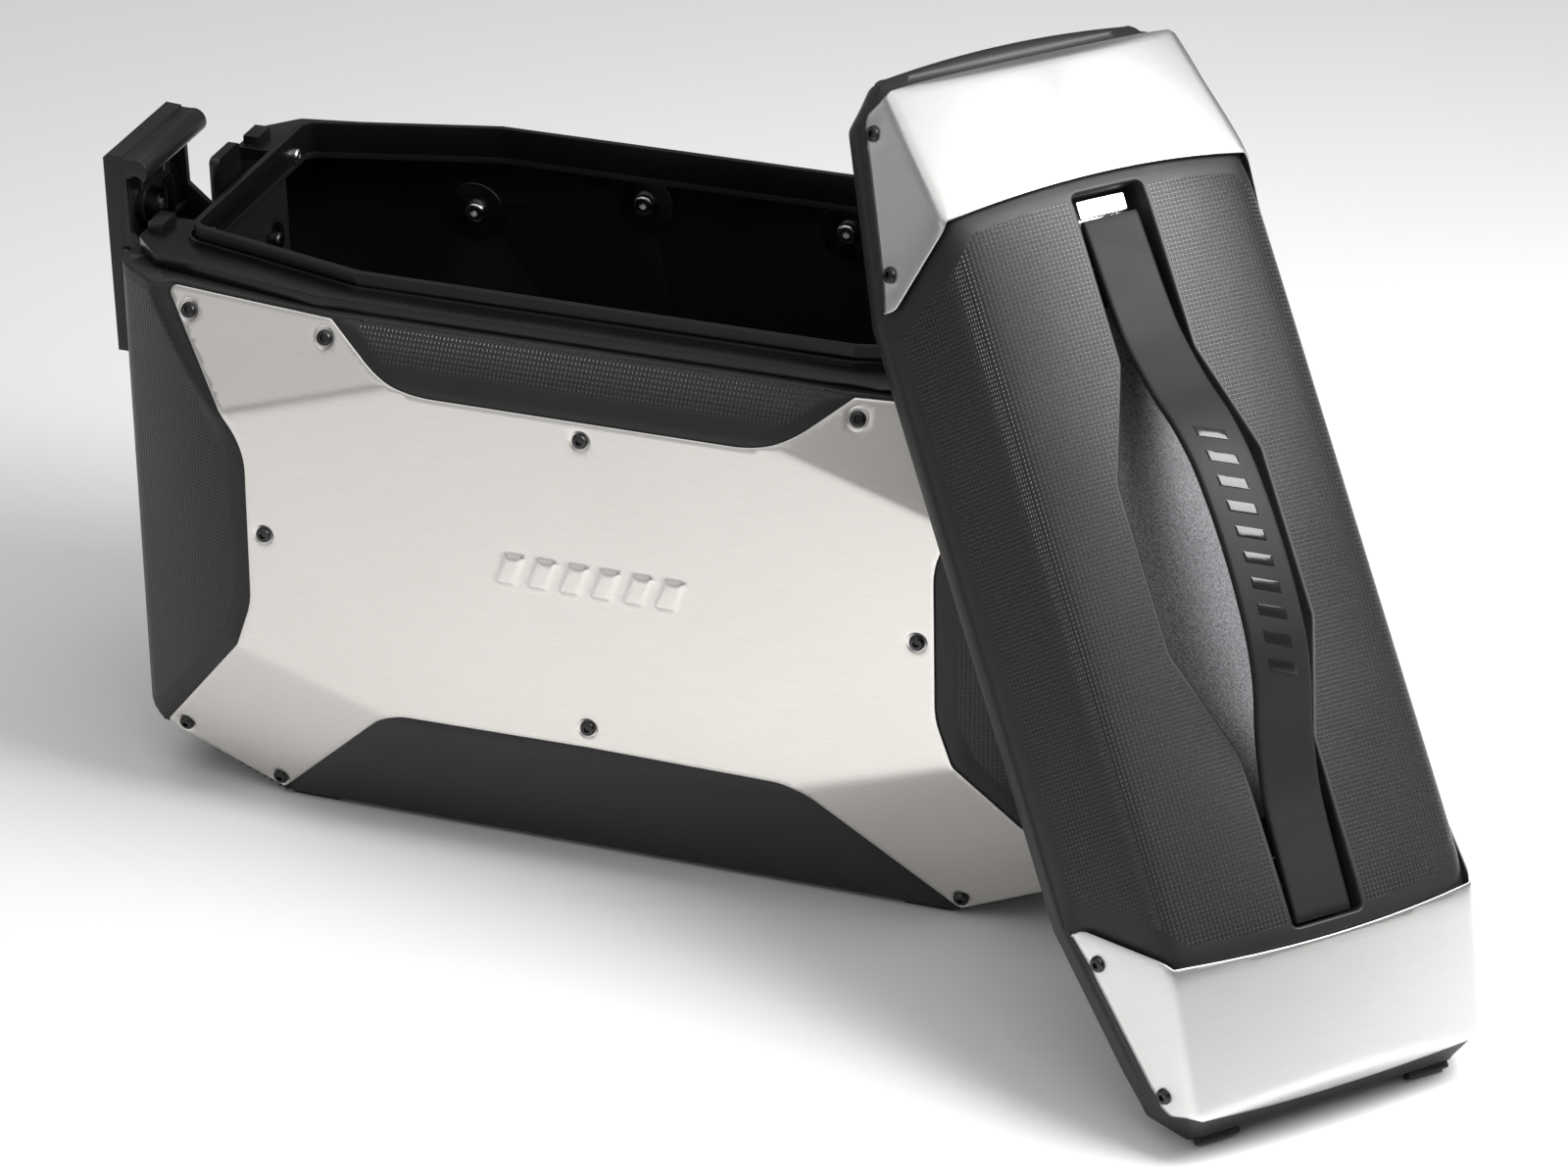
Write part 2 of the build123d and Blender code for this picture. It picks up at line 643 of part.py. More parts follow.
bracket_holes = [(side * 150.0, 0.0) for side in (1, -1)]
for x, y in bracket_holes:
    lid = lid - Pos(x, y, recess_floor) * Cylinder(2.1, 20)

recess_insert = slab(recess_outline(-0.2), recess_floor, recess_floor + 1.2)
insert_trim = slab(make_face(Polyline((-118, -60), (118, -60), (118, 60), (-118, 60), close=True)), 0, 100)
recess_insert = recess_insert & insert_trim


def end_plate():
    """Bent sheet over one end of the lid: a sloping plate with a flap down each side."""
    skin = lid_block(LID_PLATE_T, 11.5) - lid_block(0, -5)
    margin = 1.5
    middle = bar(shoulder[0] + margin, 260, -90, 90, 26.5, 80)
    flap_edge = [
        (shoulder[0] + margin, shoulder[2] + 8),
        (LID_FLAP_TIP[0] + 2.0, LID_FLAP_TIP[2] + 2.5),
        (LID_FLAP_TIP[0] + 4.0, LID_FLAP_TIP[2] + 0.3),
        (226.5, 10.5),
        (229.5, 12.0),
        (corner[0] + 2.0, corner[2] - 1.0),
        (corner[0] + 4.0, shoulder[2] + 8),
    ]
    flaps = extrude(Plane.XZ * make_face(Polyline(*flap_edge, close=True)), 120, both=True)
    flaps = flaps - Box(600, 2 * 72.0, 300)
    return skin & (middle + flaps)


plate = end_plate()
for point, normal in LID_SCREWS:
    plate = plate - place(point, normal, Cylinder(PANEL_SCREW_R + 0.1, 12))
plate_screws = []
for point, normal in LID_SCREWS:
    seat = point + normal * LID_PLATE_T
    screw = button_screw(PANEL_HEAD_R, PANEL_HEAD_H, PANEL_SCREW_R, 8, False)
    plate_screws.append(place(seat, normal, screw))

SEAL_Z = TONGUE_TOP - LEDGE_Z
seal_ring = outline(tongue_corners, 9, 1.2) - outline(tongue_corners, 9, -TONGUE_T - 1.2)
seal = slab(seal_ring, SEAL_Z, SEAL_Z + 4)
seal_shelf = outline(LID_OUT, 5, -LID_WALL) - outline(tongue_corners, 9, -TONGUE_T - 2.5)
lid = lid + (slab(seal_shelf, SEAL_Z + 4, SEAL_Z + 6.5) & lid_block(-1))

catches = []
for side in (1, -1):
    for y in (54.5, -54.5):
        pad = bar(LID_OUT[2][0], CATCH_X, y - 10.5, y + 10.5, CATCH_Z, 9.5)
        catches.append(pad if side > 0 else mirror_x(pad))


# ------------------------------------------------------------------ strap handle
def strap_solid(half_w, thickness, inset, lift):
    """Band that swells up out of the recess between its two ends."""
    x0, x1 = STRAP_ENDS[0] + inset, STRAP_ENDS[1] - inset
    mid, z0 = (x0 + x1) / 2, STRAP_END_Z + lift
    half = [(mid + x, z0 + rise) for x, rise in STRAP_RISE]
    low = [(x0, z0)] + [(2 * mid - x, z) for x, z in half[:0:-1]] + half + [(x1, z0)]
    top = [(x, z + thickness) for x, z in low]
    ends = [Line(top[-1], low[-1]), Line(low[0], top[0])]
    face = make_face([Spline(*top), ends[0], Spline(*low[::-1]), ends[1]])
    return extrude(Plane.XZ * face, half_w, both=True)


strap_core = strap_solid(10.0, 1.0, 2.0, 1.5)
strap = strap_solid(STRAP_W / 2, STRAP_T, 0.0, 0.0) - strap_core


def strap_bracket():
    """Folded steel bracket at one end of the recess that the strap's end hooks into."""
    z0 = recess_floor
    foot = bar(136, 166, -12, 12, z0, z0 + 1.5) - Pos(150, 0, z0) * Cylinder(2.1, 20)
    riser = bar(164.5, 166, -12, 12, z0, z0 + 8)
    lip = bar(158, 166, -12, 12, z0 + 6.5, z0 + 8)
    return foot + riser + lip


bracket = strap_bracket()
bracket_screw = Pos(150, 0, recess_floor + 1.5) * button_screw(3.8, 2.0, 2.0, 7)

# ------------------------------------------------------------------ stand the lid up
lean, yaw = math.radians(LID_LEAN), math.radians(LID_YAW)
width_dir = Vector(math.cos(yaw), math.sin(yaw), 0)
out_dir = Vector(math.sin(yaw), -math.cos(yaw), 0)
length_dir = out_dir * math.cos(lean) - Vector(0, 0, math.sin(lean))
top_dir = length_dir.cross(width_dir)
lid_origin = (*LID_ORIGIN_XY, CATCH_X * math.sin(lean) - CATCH_Z * math.cos(lean))
LID_PLACE = Plane(origin=lid_origin, x_dir=length_dir, z_dir=top_dir).location


def save_on_lid(name, *solids):
    save(name, *[LID_PLACE * solid for solid in solids])


save_on_lid("lid_shell", lid)
save_on_lid("lid_recess_insert", recess_insert)
save_on_lid("lid_lower_end_plate", plate)
save_on_lid("lid_upper_end_plate", mirror_x(plate))
save_on_lid("lid_plate_screws", *plate_screws)
save_on_lid("lid_seal", seal)
save_on_lid("lid_end_catches", *catches)
save_on_lid("strap_cover", strap)
save_on_lid("strap_spring_core", strap_core)
save_on_lid("strap_lower_bracket", bracket)
save_on_lid("strap_upper_bracket", mirror_x(bracket))
save_on_lid("strap_bracket_screws", bracket_screw, mirror_x(bracket_screw))
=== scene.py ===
import math

import bpy
import numpy as np
from mathutils import Matrix, Vector
from mathutils.geometry import delaunay_2d_cdt


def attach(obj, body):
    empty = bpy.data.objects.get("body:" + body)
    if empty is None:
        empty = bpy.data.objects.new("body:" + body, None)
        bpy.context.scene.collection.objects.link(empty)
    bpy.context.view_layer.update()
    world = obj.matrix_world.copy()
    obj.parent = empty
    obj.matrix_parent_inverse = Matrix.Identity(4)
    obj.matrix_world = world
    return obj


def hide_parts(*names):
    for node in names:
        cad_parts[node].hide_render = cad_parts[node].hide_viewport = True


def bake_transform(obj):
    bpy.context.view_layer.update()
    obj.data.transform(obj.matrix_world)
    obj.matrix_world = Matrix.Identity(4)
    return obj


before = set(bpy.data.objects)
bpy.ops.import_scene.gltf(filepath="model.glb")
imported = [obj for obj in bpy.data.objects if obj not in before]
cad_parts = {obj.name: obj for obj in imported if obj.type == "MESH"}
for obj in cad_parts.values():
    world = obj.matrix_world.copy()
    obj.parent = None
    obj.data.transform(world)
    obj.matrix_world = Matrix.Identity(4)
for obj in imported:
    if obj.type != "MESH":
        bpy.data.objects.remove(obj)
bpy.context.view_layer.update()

# Lengths are millimetres until a mesh is made. Case: x along, y towards the motorcycle, z up.
# Lid: its own frame, rim plane at z = 0.
MM = 0.001

# ------------------------------------------------------------------ sizes, as in the CAD model
FRONT_Y, FRONT_MID_Z, FRONT_LEAN = -119.4, 164.0, 0.0245
BACK_Y, END_X = 103.0, 249.0
SHELL_TOP, SHELL_BOTTOM = 272.5, 3.0
REAR_BEND_X, REAR_SLOPE = 165.0, 0.21
SCOOP_Z, SKIRT_Z, SKIRT_FOOT_Y = 244.5, 74.7, -92.6
END_CHAMFER_X, END_CHAMFER_SLOPE = 172.0, 0.45
BAY_HALF_W, BAY_FLOOR = 42.0, 196.0
PANEL_T = 1.5
PANEL_SCREWS = ((205.5, 261.0), (131.5, 262.0), (163.6, 159.5), (224.5, 33.0), (176.0, 10.5))
PANEL_SCREWS_MIDDLE = ((0.0, 235.0), (0.0, 85.0))
LID_OUT = ((139.0, 97.5), (228.0, 81.0), (244.0, 65.0))
LID_SHOULDER, LID_CORNER, LID_FLAP_TIP = (171.8, 76.5, 56.0), (238.0, 73.0, 28.5), (139.3, 98.2, 12.0)
LID_CROWN_TOP, LID_CROWN = 65.0, 0.00154
LID_SCREWS = ((222.0, 20.2), (158.5, 20.6))
RECESS_END, RECESS_HALF_W = 168.5, 17.8
RECESS_MID_X, RECESS_MID_HALF_W, RECESS_NECK_X = 39.0, 36.0, 90.0
RECESS_DEPTH = 17.0
STRAP_W, STRAP_T, STRAP_ENDS, STRAP_END_Z = 28.5, 4.0, (-156.0, 166.5), 57.0
STRAP_RISE = (
    (0, 39), (25, 37.5), (42, 34.5), (60, 27.5), (75, 18.5),
    (90, 11.5), (105, 6), (120, 3.6), (140, 1.8), (161.25, 0),
)
LID_YAW, LID_LEAN, LID_ORIGIN_XY = 47.24, 53.19, (267.4, -91.5)
CATCH_X, CATCH_Z = 247.4, 3.5


# ------------------------------------------------------------------ mesh helpers
def rounded(points, radii, step=1.5):
    """Closed outline through the corners, each rounded to its radius."""
    out = []
    count = len(points)
    for i, (corner, radius) in enumerate(zip(points, radii)):
        here = np.array(corner, float)
        before, after = np.array(points[i - 1], float), np.array(points[(i + 1) % count], float)
        if not radius:
            out.append(here)
            continue
        a, b = before - here, after - here
        a, b = a / np.linalg.norm(a), b / np.linalg.norm(b)
        half = math.acos(np.clip(a @ b, -1, 1)) / 2
        reach = radius / math.tan(half)
        middle = here + (a + b) / np.linalg.norm(a + b) * radius / math.sin(half)
        start, end = here + a * reach - middle, here + b * reach - middle
        turn = math.pi - 2 * half
        parts = max(2, round(radius * turn / step))
        for k in range(parts + 1):
            t = k / parts
            v = (math.sin((1 - t) * turn) * start + math.sin(t * turn) * end) / math.sin(turn)
            out.append(middle + v)
    return np.array(out)


def resample(loop, step):
    """The same outline with extra points, so that no run is longer than step."""
    out = []
    for a, b in zip(loop, np.roll(loop, -1, 0)):
        parts = max(1, math.ceil(np.linalg.norm(b - a) / step))
        out += [a + (b - a) * k / parts for k in range(parts)]
    return np.array(out)


def to_line(points, loop):
    """Distance of each 2D point from the outline."""
    best = np.full(len(points), 1e9)
    for p, q in zip(loop, np.roll(loop, -1, 0)):
        d = q - p
        t = np.clip((points - p) @ d / max(d @ d, 1e-12), 0, 1)
        best = np.minimum(best, np.linalg.norm(points - p - t[:, None] * d, axis=1))
    return best


def within(points, loop):
    """True for each 2D point inside the closed outline."""
    x, y = points[:, 0], points[:, 1]
    result = np.zeros(len(points), bool)
    for (x0, y0), (x1, y1) in zip(loop, np.roll(loop, -1, 0)):
        if y0 != y1:
            crosses = (y0 > y) != (y1 > y)
            result ^= crosses & (x < x0 + (y - y0) * (x1 - x0) / (y1 - y0))
    return result


def signed(points, loop):
    """Distance from the outline, positive outside."""
    return to_line(points, loop) * np.where(within(points, loop), -1, 1)


def sheet_2d(loops, points):
    """Triangles over a plane region: the loops' edges are kept, the points fill it."""
    verts, edges = [], []
    for loop in loops:
        start = len(verts)
        verts += [tuple(p) for p in loop]
        edges += [(start + i, start + (i + 1) % len(loop)) for i in range(len(loop))]
    verts += [tuple(p) for p in points]
    made = delaunay_2d_cdt([Vector(v) for v in verts], edges, [], 0, 1e-3)
    return np.array([tuple(v) for v in made[0]]), np.array([tuple(f) for f in made[2]])


def grid_2d(low, high, step):
    xs = np.arange(low[0] + step / 2, high[0], step)
    ys = np.arange(low[1] + step / 2, high[1], step)
    return np.array(np.meshgrid(xs, ys)).reshape(2, -1).T


def away_from(points, loops, gap):
    for loop in loops:
        points = points[to_line(points, loop) > gap]
    return points


def smoothstep(x, a, b):
    t = np.clip((x - a) / (b - a), 0, 1)
    return t * t * (3 - 2 * t)


def make_mesh(name, verts, faces, materials, marks=None, uv=None):
    """Object in metres from millimetre vertices; marks gives each face's material."""
    mesh = bpy.data.meshes.new(name)
    mesh.from_pydata((np.asarray(verts, float) * MM).tolist(), [], [list(map(int, f)) for f in faces])
    for material in materials:
        mesh.materials.append(material)
    if marks is not None:
        mesh.polygons.foreach_set("material_index", np.asarray(marks, np.int32))
    if uv is not None:
        corners = np.zeros(len(mesh.loops), np.int32)
        mesh.loops.foreach_get("vertex_index", corners)
        layer = mesh.uv_layers.new(name="UVMap")
        layer.data.foreach_set("uv", (np.asarray(uv, float)[corners] * MM).ravel().astype(np.float32))
    mesh.polygons.foreach_set("use_smooth", [True] * len(mesh.polygons))
    mesh.update()
    made = bpy.data.objects.new(name, mesh)
    bpy.context.scene.collection.objects.link(made)
    return made


def thicken(piece, thickness):
    """Give the sheet a thickness, inwards from its face."""
    solid = piece.modifiers.new("thickness", "SOLIDIFY")
    solid.thickness = thickness * MM
    solid.offset = -1
    solid.use_even_offset = False


def round_edges(piece, width):
    """Merge the seams, drop flat triangles, and round what is left."""
    weld = piece.modifiers.new("weld", "WELD")
    weld.merge_threshold = 1e-5
    flat = piece.modifiers.new("flat", "DECIMATE")
    flat.decimate_type = "DISSOLVE"
    flat.angle_limit = math.radians(0.4)
    bevel = piece.modifiers.new("round", "BEVEL")
    bevel.width = width * MM
    bevel.segments = 3
    bevel.limit_method = "ANGLE"
    bevel.angle_limit = math.radians(25)
    bevel.harden_normals = True
    piece.data.polygons.foreach_set("use_smooth", [True] * len(piece.data.polygons))


def finish_piece(piece, body, slot, *nodes):
    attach(piece, body)
    if nodes:
        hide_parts(*nodes)
    return piece


def lathe(profile, turns, wobble):
    """Surface about z from (radius, height) pairs, closed at both ends; wobble varies the radius."""
    angles = np.arange(turns) * 2 * math.pi / turns
    verts, faces = [], []
    for k, (radius, height) in enumerate(profile):
        r = radius * (1 + wobble(k, angles))
        verts += list(zip(r * np.cos(angles), r * np.sin(angles), np.full(turns, height)))
    for k in range(len(profile) - 1):
        for i in range(turns):
            j = (i + 1) % turns
            faces.append((k * turns + i, k * turns + j, (k + 1) * turns + j, (k + 1) * turns + i))
    low, high = len(verts), len(verts) + 1
    verts += [(0, 0, profile[0][1]), (0, 0, profile[-1][1])]
    last = (len(profile) - 1) * turns
    for i in range(turns):
        j = (i + 1) % turns
        faces.append((low, j, i))
        faces.append((high, last + i, last + j))
    return np.array(verts, float), faces


def turn_to(normal):
    """3x3 matrix whose z axis is the normal."""
    return np.array(Vector(normal).to_track_quat("Z", "Y").to_matrix())


def join_copies(shape, places):
    """One vertex and face list from a shape repeated at (point, normal) places."""
    verts, faces = shape
    all_verts, all_faces = [], []
    for point, normal in places:
        start = sum(len(v) for v in all_verts)
        all_verts.append(verts @ turn_to(normal).T + np.array(point))
        all_faces += [tuple(start + i for i in f) for f in faces]
    return np.vstack(all_verts), all_faces


# ------------------------------------------------------------------ surfaces from planes
def plane(a, b, c, inside):
    """(point, outward unit normal) of the plane through three points."""
    a, b, c = (np.array(p, float) for p in (a, b, c))
    normal = np.cross(b - a, c - a)
    normal /= np.linalg.norm(normal)
    return (a, -normal) if normal @ (np.array(inside) - a) > 0 else (a, normal)


def flipped(surface, axis):
    point, normal = surface[0].copy(), surface[1].copy()
    point[axis] *= -1
    normal[axis] *= -1
    return point, normal


def soft_surface(planes, points, axis, start, radius):
    """Solve each point's coordinate on the axis so that it lies on the softened planes."""
    points = points.copy()
    points[:, axis] = start
    for _ in range(30):
        gaps = np.array([(points - p) @ n for p, n in planes])
        peak = gaps.max(0)
        weights = np.exp((gaps - peak) / radius)
        value = peak + radius * np.log(weights.sum(0))
        slope = (weights * np.array([n[axis] for _, n in planes])[:, None]).sum(0) / weights.sum(0)
        points[:, axis] -= value / slope
    return points[:, axis]


INSIDE = (0, -10, 150)


def front_y(z):
    return FRONT_Y + FRONT_LEAN * (z - FRONT_MID_Z)


def on_front(x, z):
    return (x, front_y(z), z)


FRONT = plane(on_front(0, 0), on_front(100, 0), on_front(0, 200), INSIDE)
TOP_ARM = plane(on_front(105, 245), on_front(180, 221), (128.4, -103.6, 271), INSIDE)
BOTTOM_ARM = plane(on_front(105, 73), on_front(181, 98), (172, -92.3, 1.5), INSIDE)
PANEL_PLANES = [FRONT, TOP_ARM, flipped(TOP_ARM, 0), BOTTOM_ARM, flipped(BOTTOM_ARM, 0)]
FOLD = 0.35


def panel_back(x, z):
    """y of the face that the front panel lies on."""
    points = np.stack([x, np.zeros_like(x), z], 1)
    return soft_surface(PANEL_PLANES, points, 1, -150.0, FOLD)


# ------------------------------------------------------------------ outlines on the front
def mirrored(half, radii):
    """Full symmetric outline from its right half, which starts and ends on the middle line."""
    points = list(half) + [(-x, z) for x, z in half[-2:0:-1]]
    return points, list(radii) + list(radii)[-2:0:-1]


def panel_outline(grow=0.0):
    half = [
        (0, SCOOP_Z + grow),
        (94 + grow * 0.35, SCOOP_Z + grow),
        (129 - grow * 0.6, 271.3 + grow),
        (219.5 + grow * 1.4, 271.3 + grow),
        (171.6 + grow, 204 - grow * 0.3),
        (172.6 + grow, 122 + grow * 0.2),
        (181 + grow, 98 + grow * 0.6),
        (236.5 + grow * 1.6, 30.8),
        (175 - grow * 0.8, 3.6),
        (104 - grow * 0.3, SKIRT_Z - 1.2 - grow),
        (0, SKIRT_Z - grow),
    ]
    points, radii = mirrored(half, (None, 60, 2, 3, 40, 40, 8, 3, 3, 30, None))
    return rounded(points, radii)


PANEL_LOOP = panel_outline()
SCOOP_BORDER = 12.0
scoop_half = [(0, SCOOP_Z + SCOOP_BORDER), (99, SCOOP_Z + SCOOP_BORDER), (118, 271.6), (0, 271.6)]
SCOOP_LOOP = rounded(*mirrored(scoop_half, (None, 14, 2, None)))


# ------------------------------------------------------------------ materials
class Finish:
    """A material being wired round its Principled shader."""

    def __init__(self, name, **shader_values):
        self.material = bpy.data.materials.new(name)
        self.material.use_nodes = True
        self.tree = self.material.node_tree
        self.shader = self.tree.nodes["Principled BSDF"]
        self.coordinates = self.tree.nodes.new("ShaderNodeTexCoord").outputs
        self.feed(self.shader, {k.replace("_", " "): v for k, v in shader_values.items()})

    def feed(self, node, inputs):
        """Set each input to its value, or link it to the socket given."""
        for name, value in inputs.items():
            if isinstance(value, bpy.types.NodeSocket):
                self.tree.links.new(value, node.inputs[name])
            else:
                node.inputs[name].default_value = value

    def node(self, kind, inputs, **settings):
        node = self.tree.nodes.new("ShaderNode" + kind)
        for name, value in settings.items():
            setattr(node, name, value)
        self.feed(node, inputs)
        return node

    def noise(self, scale, detail, on="Object", stretch=None):
        """Noise on the piece's coordinates; stretch squeezes it along the axes."""
        place = self.coordinates[on]
        if stretch:
            place = self.node("Mapping", {"Vector": place, "Scale": stretch}).outputs["Vector"]
        return self.node("TexNoise", {"Vector": place, "Scale": scale, "Detail": detail}).outputs["Fac"]

    def ramp(self, source, low, high, start=0.3, end=0.7):
        """Map a factor to a range of numbers."""
        ends = {"From Min": start, "From Max": end, "To Min": low, "To Max": high}
        return self.node("MapRange", {"Value": source, **ends}).outputs["Result"]

    def tint(self, source, dark, light, start=0.3, end=0.7):
        """Map a factor to a range of colours."""
        node = self.node("ValToRGB", {"Fac": source})
        for element, place, colour in zip(node.color_ramp.elements, (start, end), (dark, light)):
            element.position = place
            element.color = (*colour, 1)
        return node.outputs["Color"]

    def bump(self, height, strength, distance, below=None):
        inputs = {"Height": height, "Strength": strength, "Distance": distance}
        if below:
            inputs["Normal"] = below
        normal = self.node("Bump", inputs).outputs["Normal"]
        self.feed(self.shader, {"Normal": normal})
        return normal

    def painted_edge_highlight(self, colour, highlight_colour, amount):
        """Lighten the convex edges a little: a painted highlight along them."""
        pointiness = self.node("NewGeometry", {}).outputs["Pointiness"]
        edge = self.ramp(pointiness, 0.0, amount, 0.52, 0.60)
        mix = self.node("Mix", {}, data_type="RGBA")
        self.feed(mix, {0: edge, 6: colour, 7: (*highlight_colour, 1)})
        return mix.outputs[2]


def times(shade, factor):
    return [min(1, c * factor) for c in shade]


def moulded_plastic(name, shade, roughness, grain=900.0, depth=0.00012, strength=0.35):
    """Black moulded plastic with a fine spark-eroded grain."""
    make = Finish(name, Specular_IOR_Level=0.36)
    fine, broad = make.noise(grain, 4), make.noise(14, 4)
    colour = make.tint(broad, times(shade, 0.86), times(shade, 1.14))
    # Convex edges get a painted highlight, a lighter colour along them.
    make.feed(make.shader, {
        "Base Color": make.painted_edge_highlight(colour, times(shade, 2.6), 0.4),
        "Roughness": make.ramp(broad, roughness - 0.05, roughness + 0.06),
    })
    make.bump(fine, strength, depth)
    return make.material


GRID_PITCH, GRID_DEPTH = 2.0, 0.5


def knurled_plastic(name, shade, roughness):
    """Black plastic embossed with a fine square grid of rounded dots, on the piece's own UVs."""
    make = Finish(name, Specular_IOR_Level=0.42)
    split = make.node("SeparateXYZ", {"Vector": make.coordinates["UV"]})
    waves = []
    for axis in "XY":
        turns = {0: split.outputs[axis], 1: 2 * math.pi / (GRID_PITCH * MM)}
        scaled = make.node("Math", turns, operation="MULTIPLY").outputs[0]
        wave = make.node("Math", {0: scaled}, operation="COSINE").outputs[0]
        waves.append(make.ramp(wave, 0.0, 1.0, -0.75, 0.45))
    dots = make.node("Math", {0: waves[0], 1: waves[1]}, operation="MULTIPLY").outputs[0]
    fine, broad = make.noise(1400, 3), make.noise(12, 4)
    # The colour follows the dots' height: painted shade in the grooves between the dots, a painted highlight
    # on their tops.
    make.feed(make.shader, {
        "Base Color": make.tint(dots, times(shade, 0.55), times(shade, 1.2), 0, 0.8),
        "Roughness": make.ramp(broad, roughness - 0.04, roughness + 0.05),
    })
    make.bump(dots, 0.8, GRID_DEPTH * MM, make.bump(fine, 0.15, 0.0001))
    return make.material


def brushed_metal(name, shade, roughness, stretch=(1.0, 60.0, 60.0)):
    """Brushed aluminium: long hairlines in colour, roughness and relief."""
    make = Finish(name, Metallic=1.0, Anisotropic=0.3)
    lines, finer = make.noise(45, 5, "UV", stretch), make.noise(160, 3, "UV", stretch)
    colour = make.tint(lines, times(shade, 0.95), times(shade, 1.03))
    # Convex edges get a painted highlight, lightened towards near-white.
    make.feed(make.shader, {
        "Base Color": make.painted_edge_highlight(colour, (0.97, 0.97, 0.98), 0.35),
        "Roughness": make.ramp(make.noise(7, 3, "UV"), roughness - 0.03, roughness + 0.04),
    })
    make.bump(finer, 0.12, 0.00004, make.bump(lines, 0.12, 0.00006))
    return make.material


def plain_metal(name, dark, light, roughness):
    """Turned or plated metal with slight stains."""
    make = Finish(name, Metallic=1.0)
    stain = make.noise(90, 4)
    make.feed(make.shader, {
        "Base Color": make.tint(stain, dark, light),
        "Roughness": make.ramp(stain, roughness - 0.05, roughness + 0.08),
    })
    make.bump(make.noise(300, 3), 0.1, 0.00008)
    return make.material


def speckled_plastic(name):
    """Grey plastic with a salt-and-pepper speckle."""
    make = Finish(name)
    speck = make.noise(1100, 2)
    make.feed(make.shader, {
        "Base Color": make.tint(speck, (0.015, 0.016, 0.018), (0.13, 0.134, 0.142)),
        "Roughness": make.ramp(make.noise(20, 3), 0.5, 0.62),
    })
    make.bump(speck, 0.3, 0.0002)
    return make.material


def rubber(name, shade, roughness):
    """Matt black rubber, faintly mottled."""
    make = Finish(name, Sheen_Weight=0.03, Specular_IOR_Level=0.25, Sheen_Roughness=0.4)
    broad = make.noise(25, 4)
    make.feed(make.shader, {
        "Base Color": make.tint(broad, times(shade, 0.8), times(shade, 1.2)),
        "Roughness": make.ramp(broad, roughness - 0.05, roughness + 0.05),
    })
    make.bump(make.noise(600, 4), 0.2, 0.00015)
    return make.material


PLASTIC = moulded_plastic("moulded_black", (0.012, 0.012, 0.0122), 0.46)
KNURL = knurled_plastic("knurled_black", (0.015, 0.015, 0.0153), 0.33)
INTERIOR = moulded_plastic("interior_black", (0.006, 0.006, 0.0062), 0.38, 500, 0.0001, 0.2)
GLOSS = moulded_plastic("frame_black", (0.004, 0.004, 0.0042), 0.26, 300, 0.00006, 0.15)
LATCH = moulded_plastic("latch_black", (0.009, 0.009, 0.0095), 0.40, 700, 0.0001, 0.3)
ALUMINIUM = brushed_metal("brushed_aluminium", (0.73, 0.705, 0.67), 0.32)
LID_ALUMINIUM = brushed_metal("brushed_aluminium_lid", (0.60, 0.60, 0.59), 0.36, (60.0, 1.0, 60.0))
BLACK_STEEL = plain_metal("black_steel", (0.035, 0.035, 0.037), (0.07, 0.07, 0.072), 0.34)
BRIGHT_STEEL = plain_metal("bright_steel", (0.62, 0.62, 0.63), (0.80, 0.80, 0.81), 0.2)
WASHER = plain_metal("dark_washer", (0.10, 0.098, 0.095), (0.17, 0.165, 0.16), 0.30)
SPECKLE = speckled_plastic("speckled_grey")
RUBBER = rubber("strap_rubber", (0.008, 0.008, 0.0085), 0.6)
SEAL = rubber("seal_rubber", (0.022, 0.022, 0.022), 0.7)
GLOSS_MARK = moulded_plastic("strap_gloss", (0.008, 0.008, 0.009), 0.16, 200, 0.00004, 0.1)

# ------------------------------------------------------------------ screws
HEAD_R, HEAD_H = 3.8, 2.0


def torx_head():
    """Button head with a six-lobed socket."""
    def lobes(k, angles):
        return 0.13 * np.cos(6 * angles) if k >= 8 else 0 * angles

    profile = [(HEAD_R * 0.6, -1.5), (HEAD_R * 0.6, -0.1), (HEAD_R, 0.0), (HEAD_R, 0.35)]
    for k in range(4):
        angle = math.radians(20 + 20 * k)
        profile.append((0.62 * HEAD_R + 0.36 * HEAD_R * math.cos(angle), 0.35 + 1.65 * math.sin(angle)))
    profile += [(HEAD_R * 0.42, HEAD_H), (HEAD_R * 0.39, HEAD_H - 0.12), (HEAD_R * 0.37, HEAD_H - 1.2)]
    return lathe(profile, 36, lobes)


# ------------------------------------------------------------------ front panel
def panel_screw_places(offset):
    """(point, normal) of each panel screw on the panel's face moved out by offset."""
    spots = []
    for x, z in PANEL_SCREWS:
        spots += [(x, z), (-x, z)]
    spots += list(PANEL_SCREWS_MIDDLE)
    places = []
    for x, z in spots:
        xs, zs = np.array([x, x + 0.5, x]), np.array([z, z, z + 0.5])
        y = panel_back(xs, zs)
        normal = np.array([(y[1] - y[0]) / 0.5, -1, (y[2] - y[0]) / 0.5])
        normal /= np.linalg.norm(normal)
        places.append((np.array([x, y[0], z]) + normal * offset, normal))
    return places


HOLE_R = 2.2
CUP_DEPTH, CUP_IN, CUP_OUT = 0.6, 4.2, 5.8
BADGE_BARS, BADGE_PITCH, BADGE_W, BADGE_H, BADGE_SLANT = 6, 16.0, 9.0, 15.0, 6.0
BADGE_Z, BADGE_RISE = 163.0, 0.55


def badge_loops(grow):
    """Slanted bars pressed up out of the sheet, a plain decoration."""
    loops = []
    for k in range(BADGE_BARS):
        x = (k - (BADGE_BARS - 1) / 2) * BADGE_PITCH + 3.0
        w, h, s = BADGE_W / 2 + grow, BADGE_H / 2 + grow, BADGE_SLANT / 2
        low, high = BADGE_Z - h, BADGE_Z + h
        corners = [(x - w - s, low), (x + w - s, low), (x + w + s, high), (x - w + s, high)]
        loops.append(rounded(corners, [1.2 + grow] * 4, 0.8))
    return loops


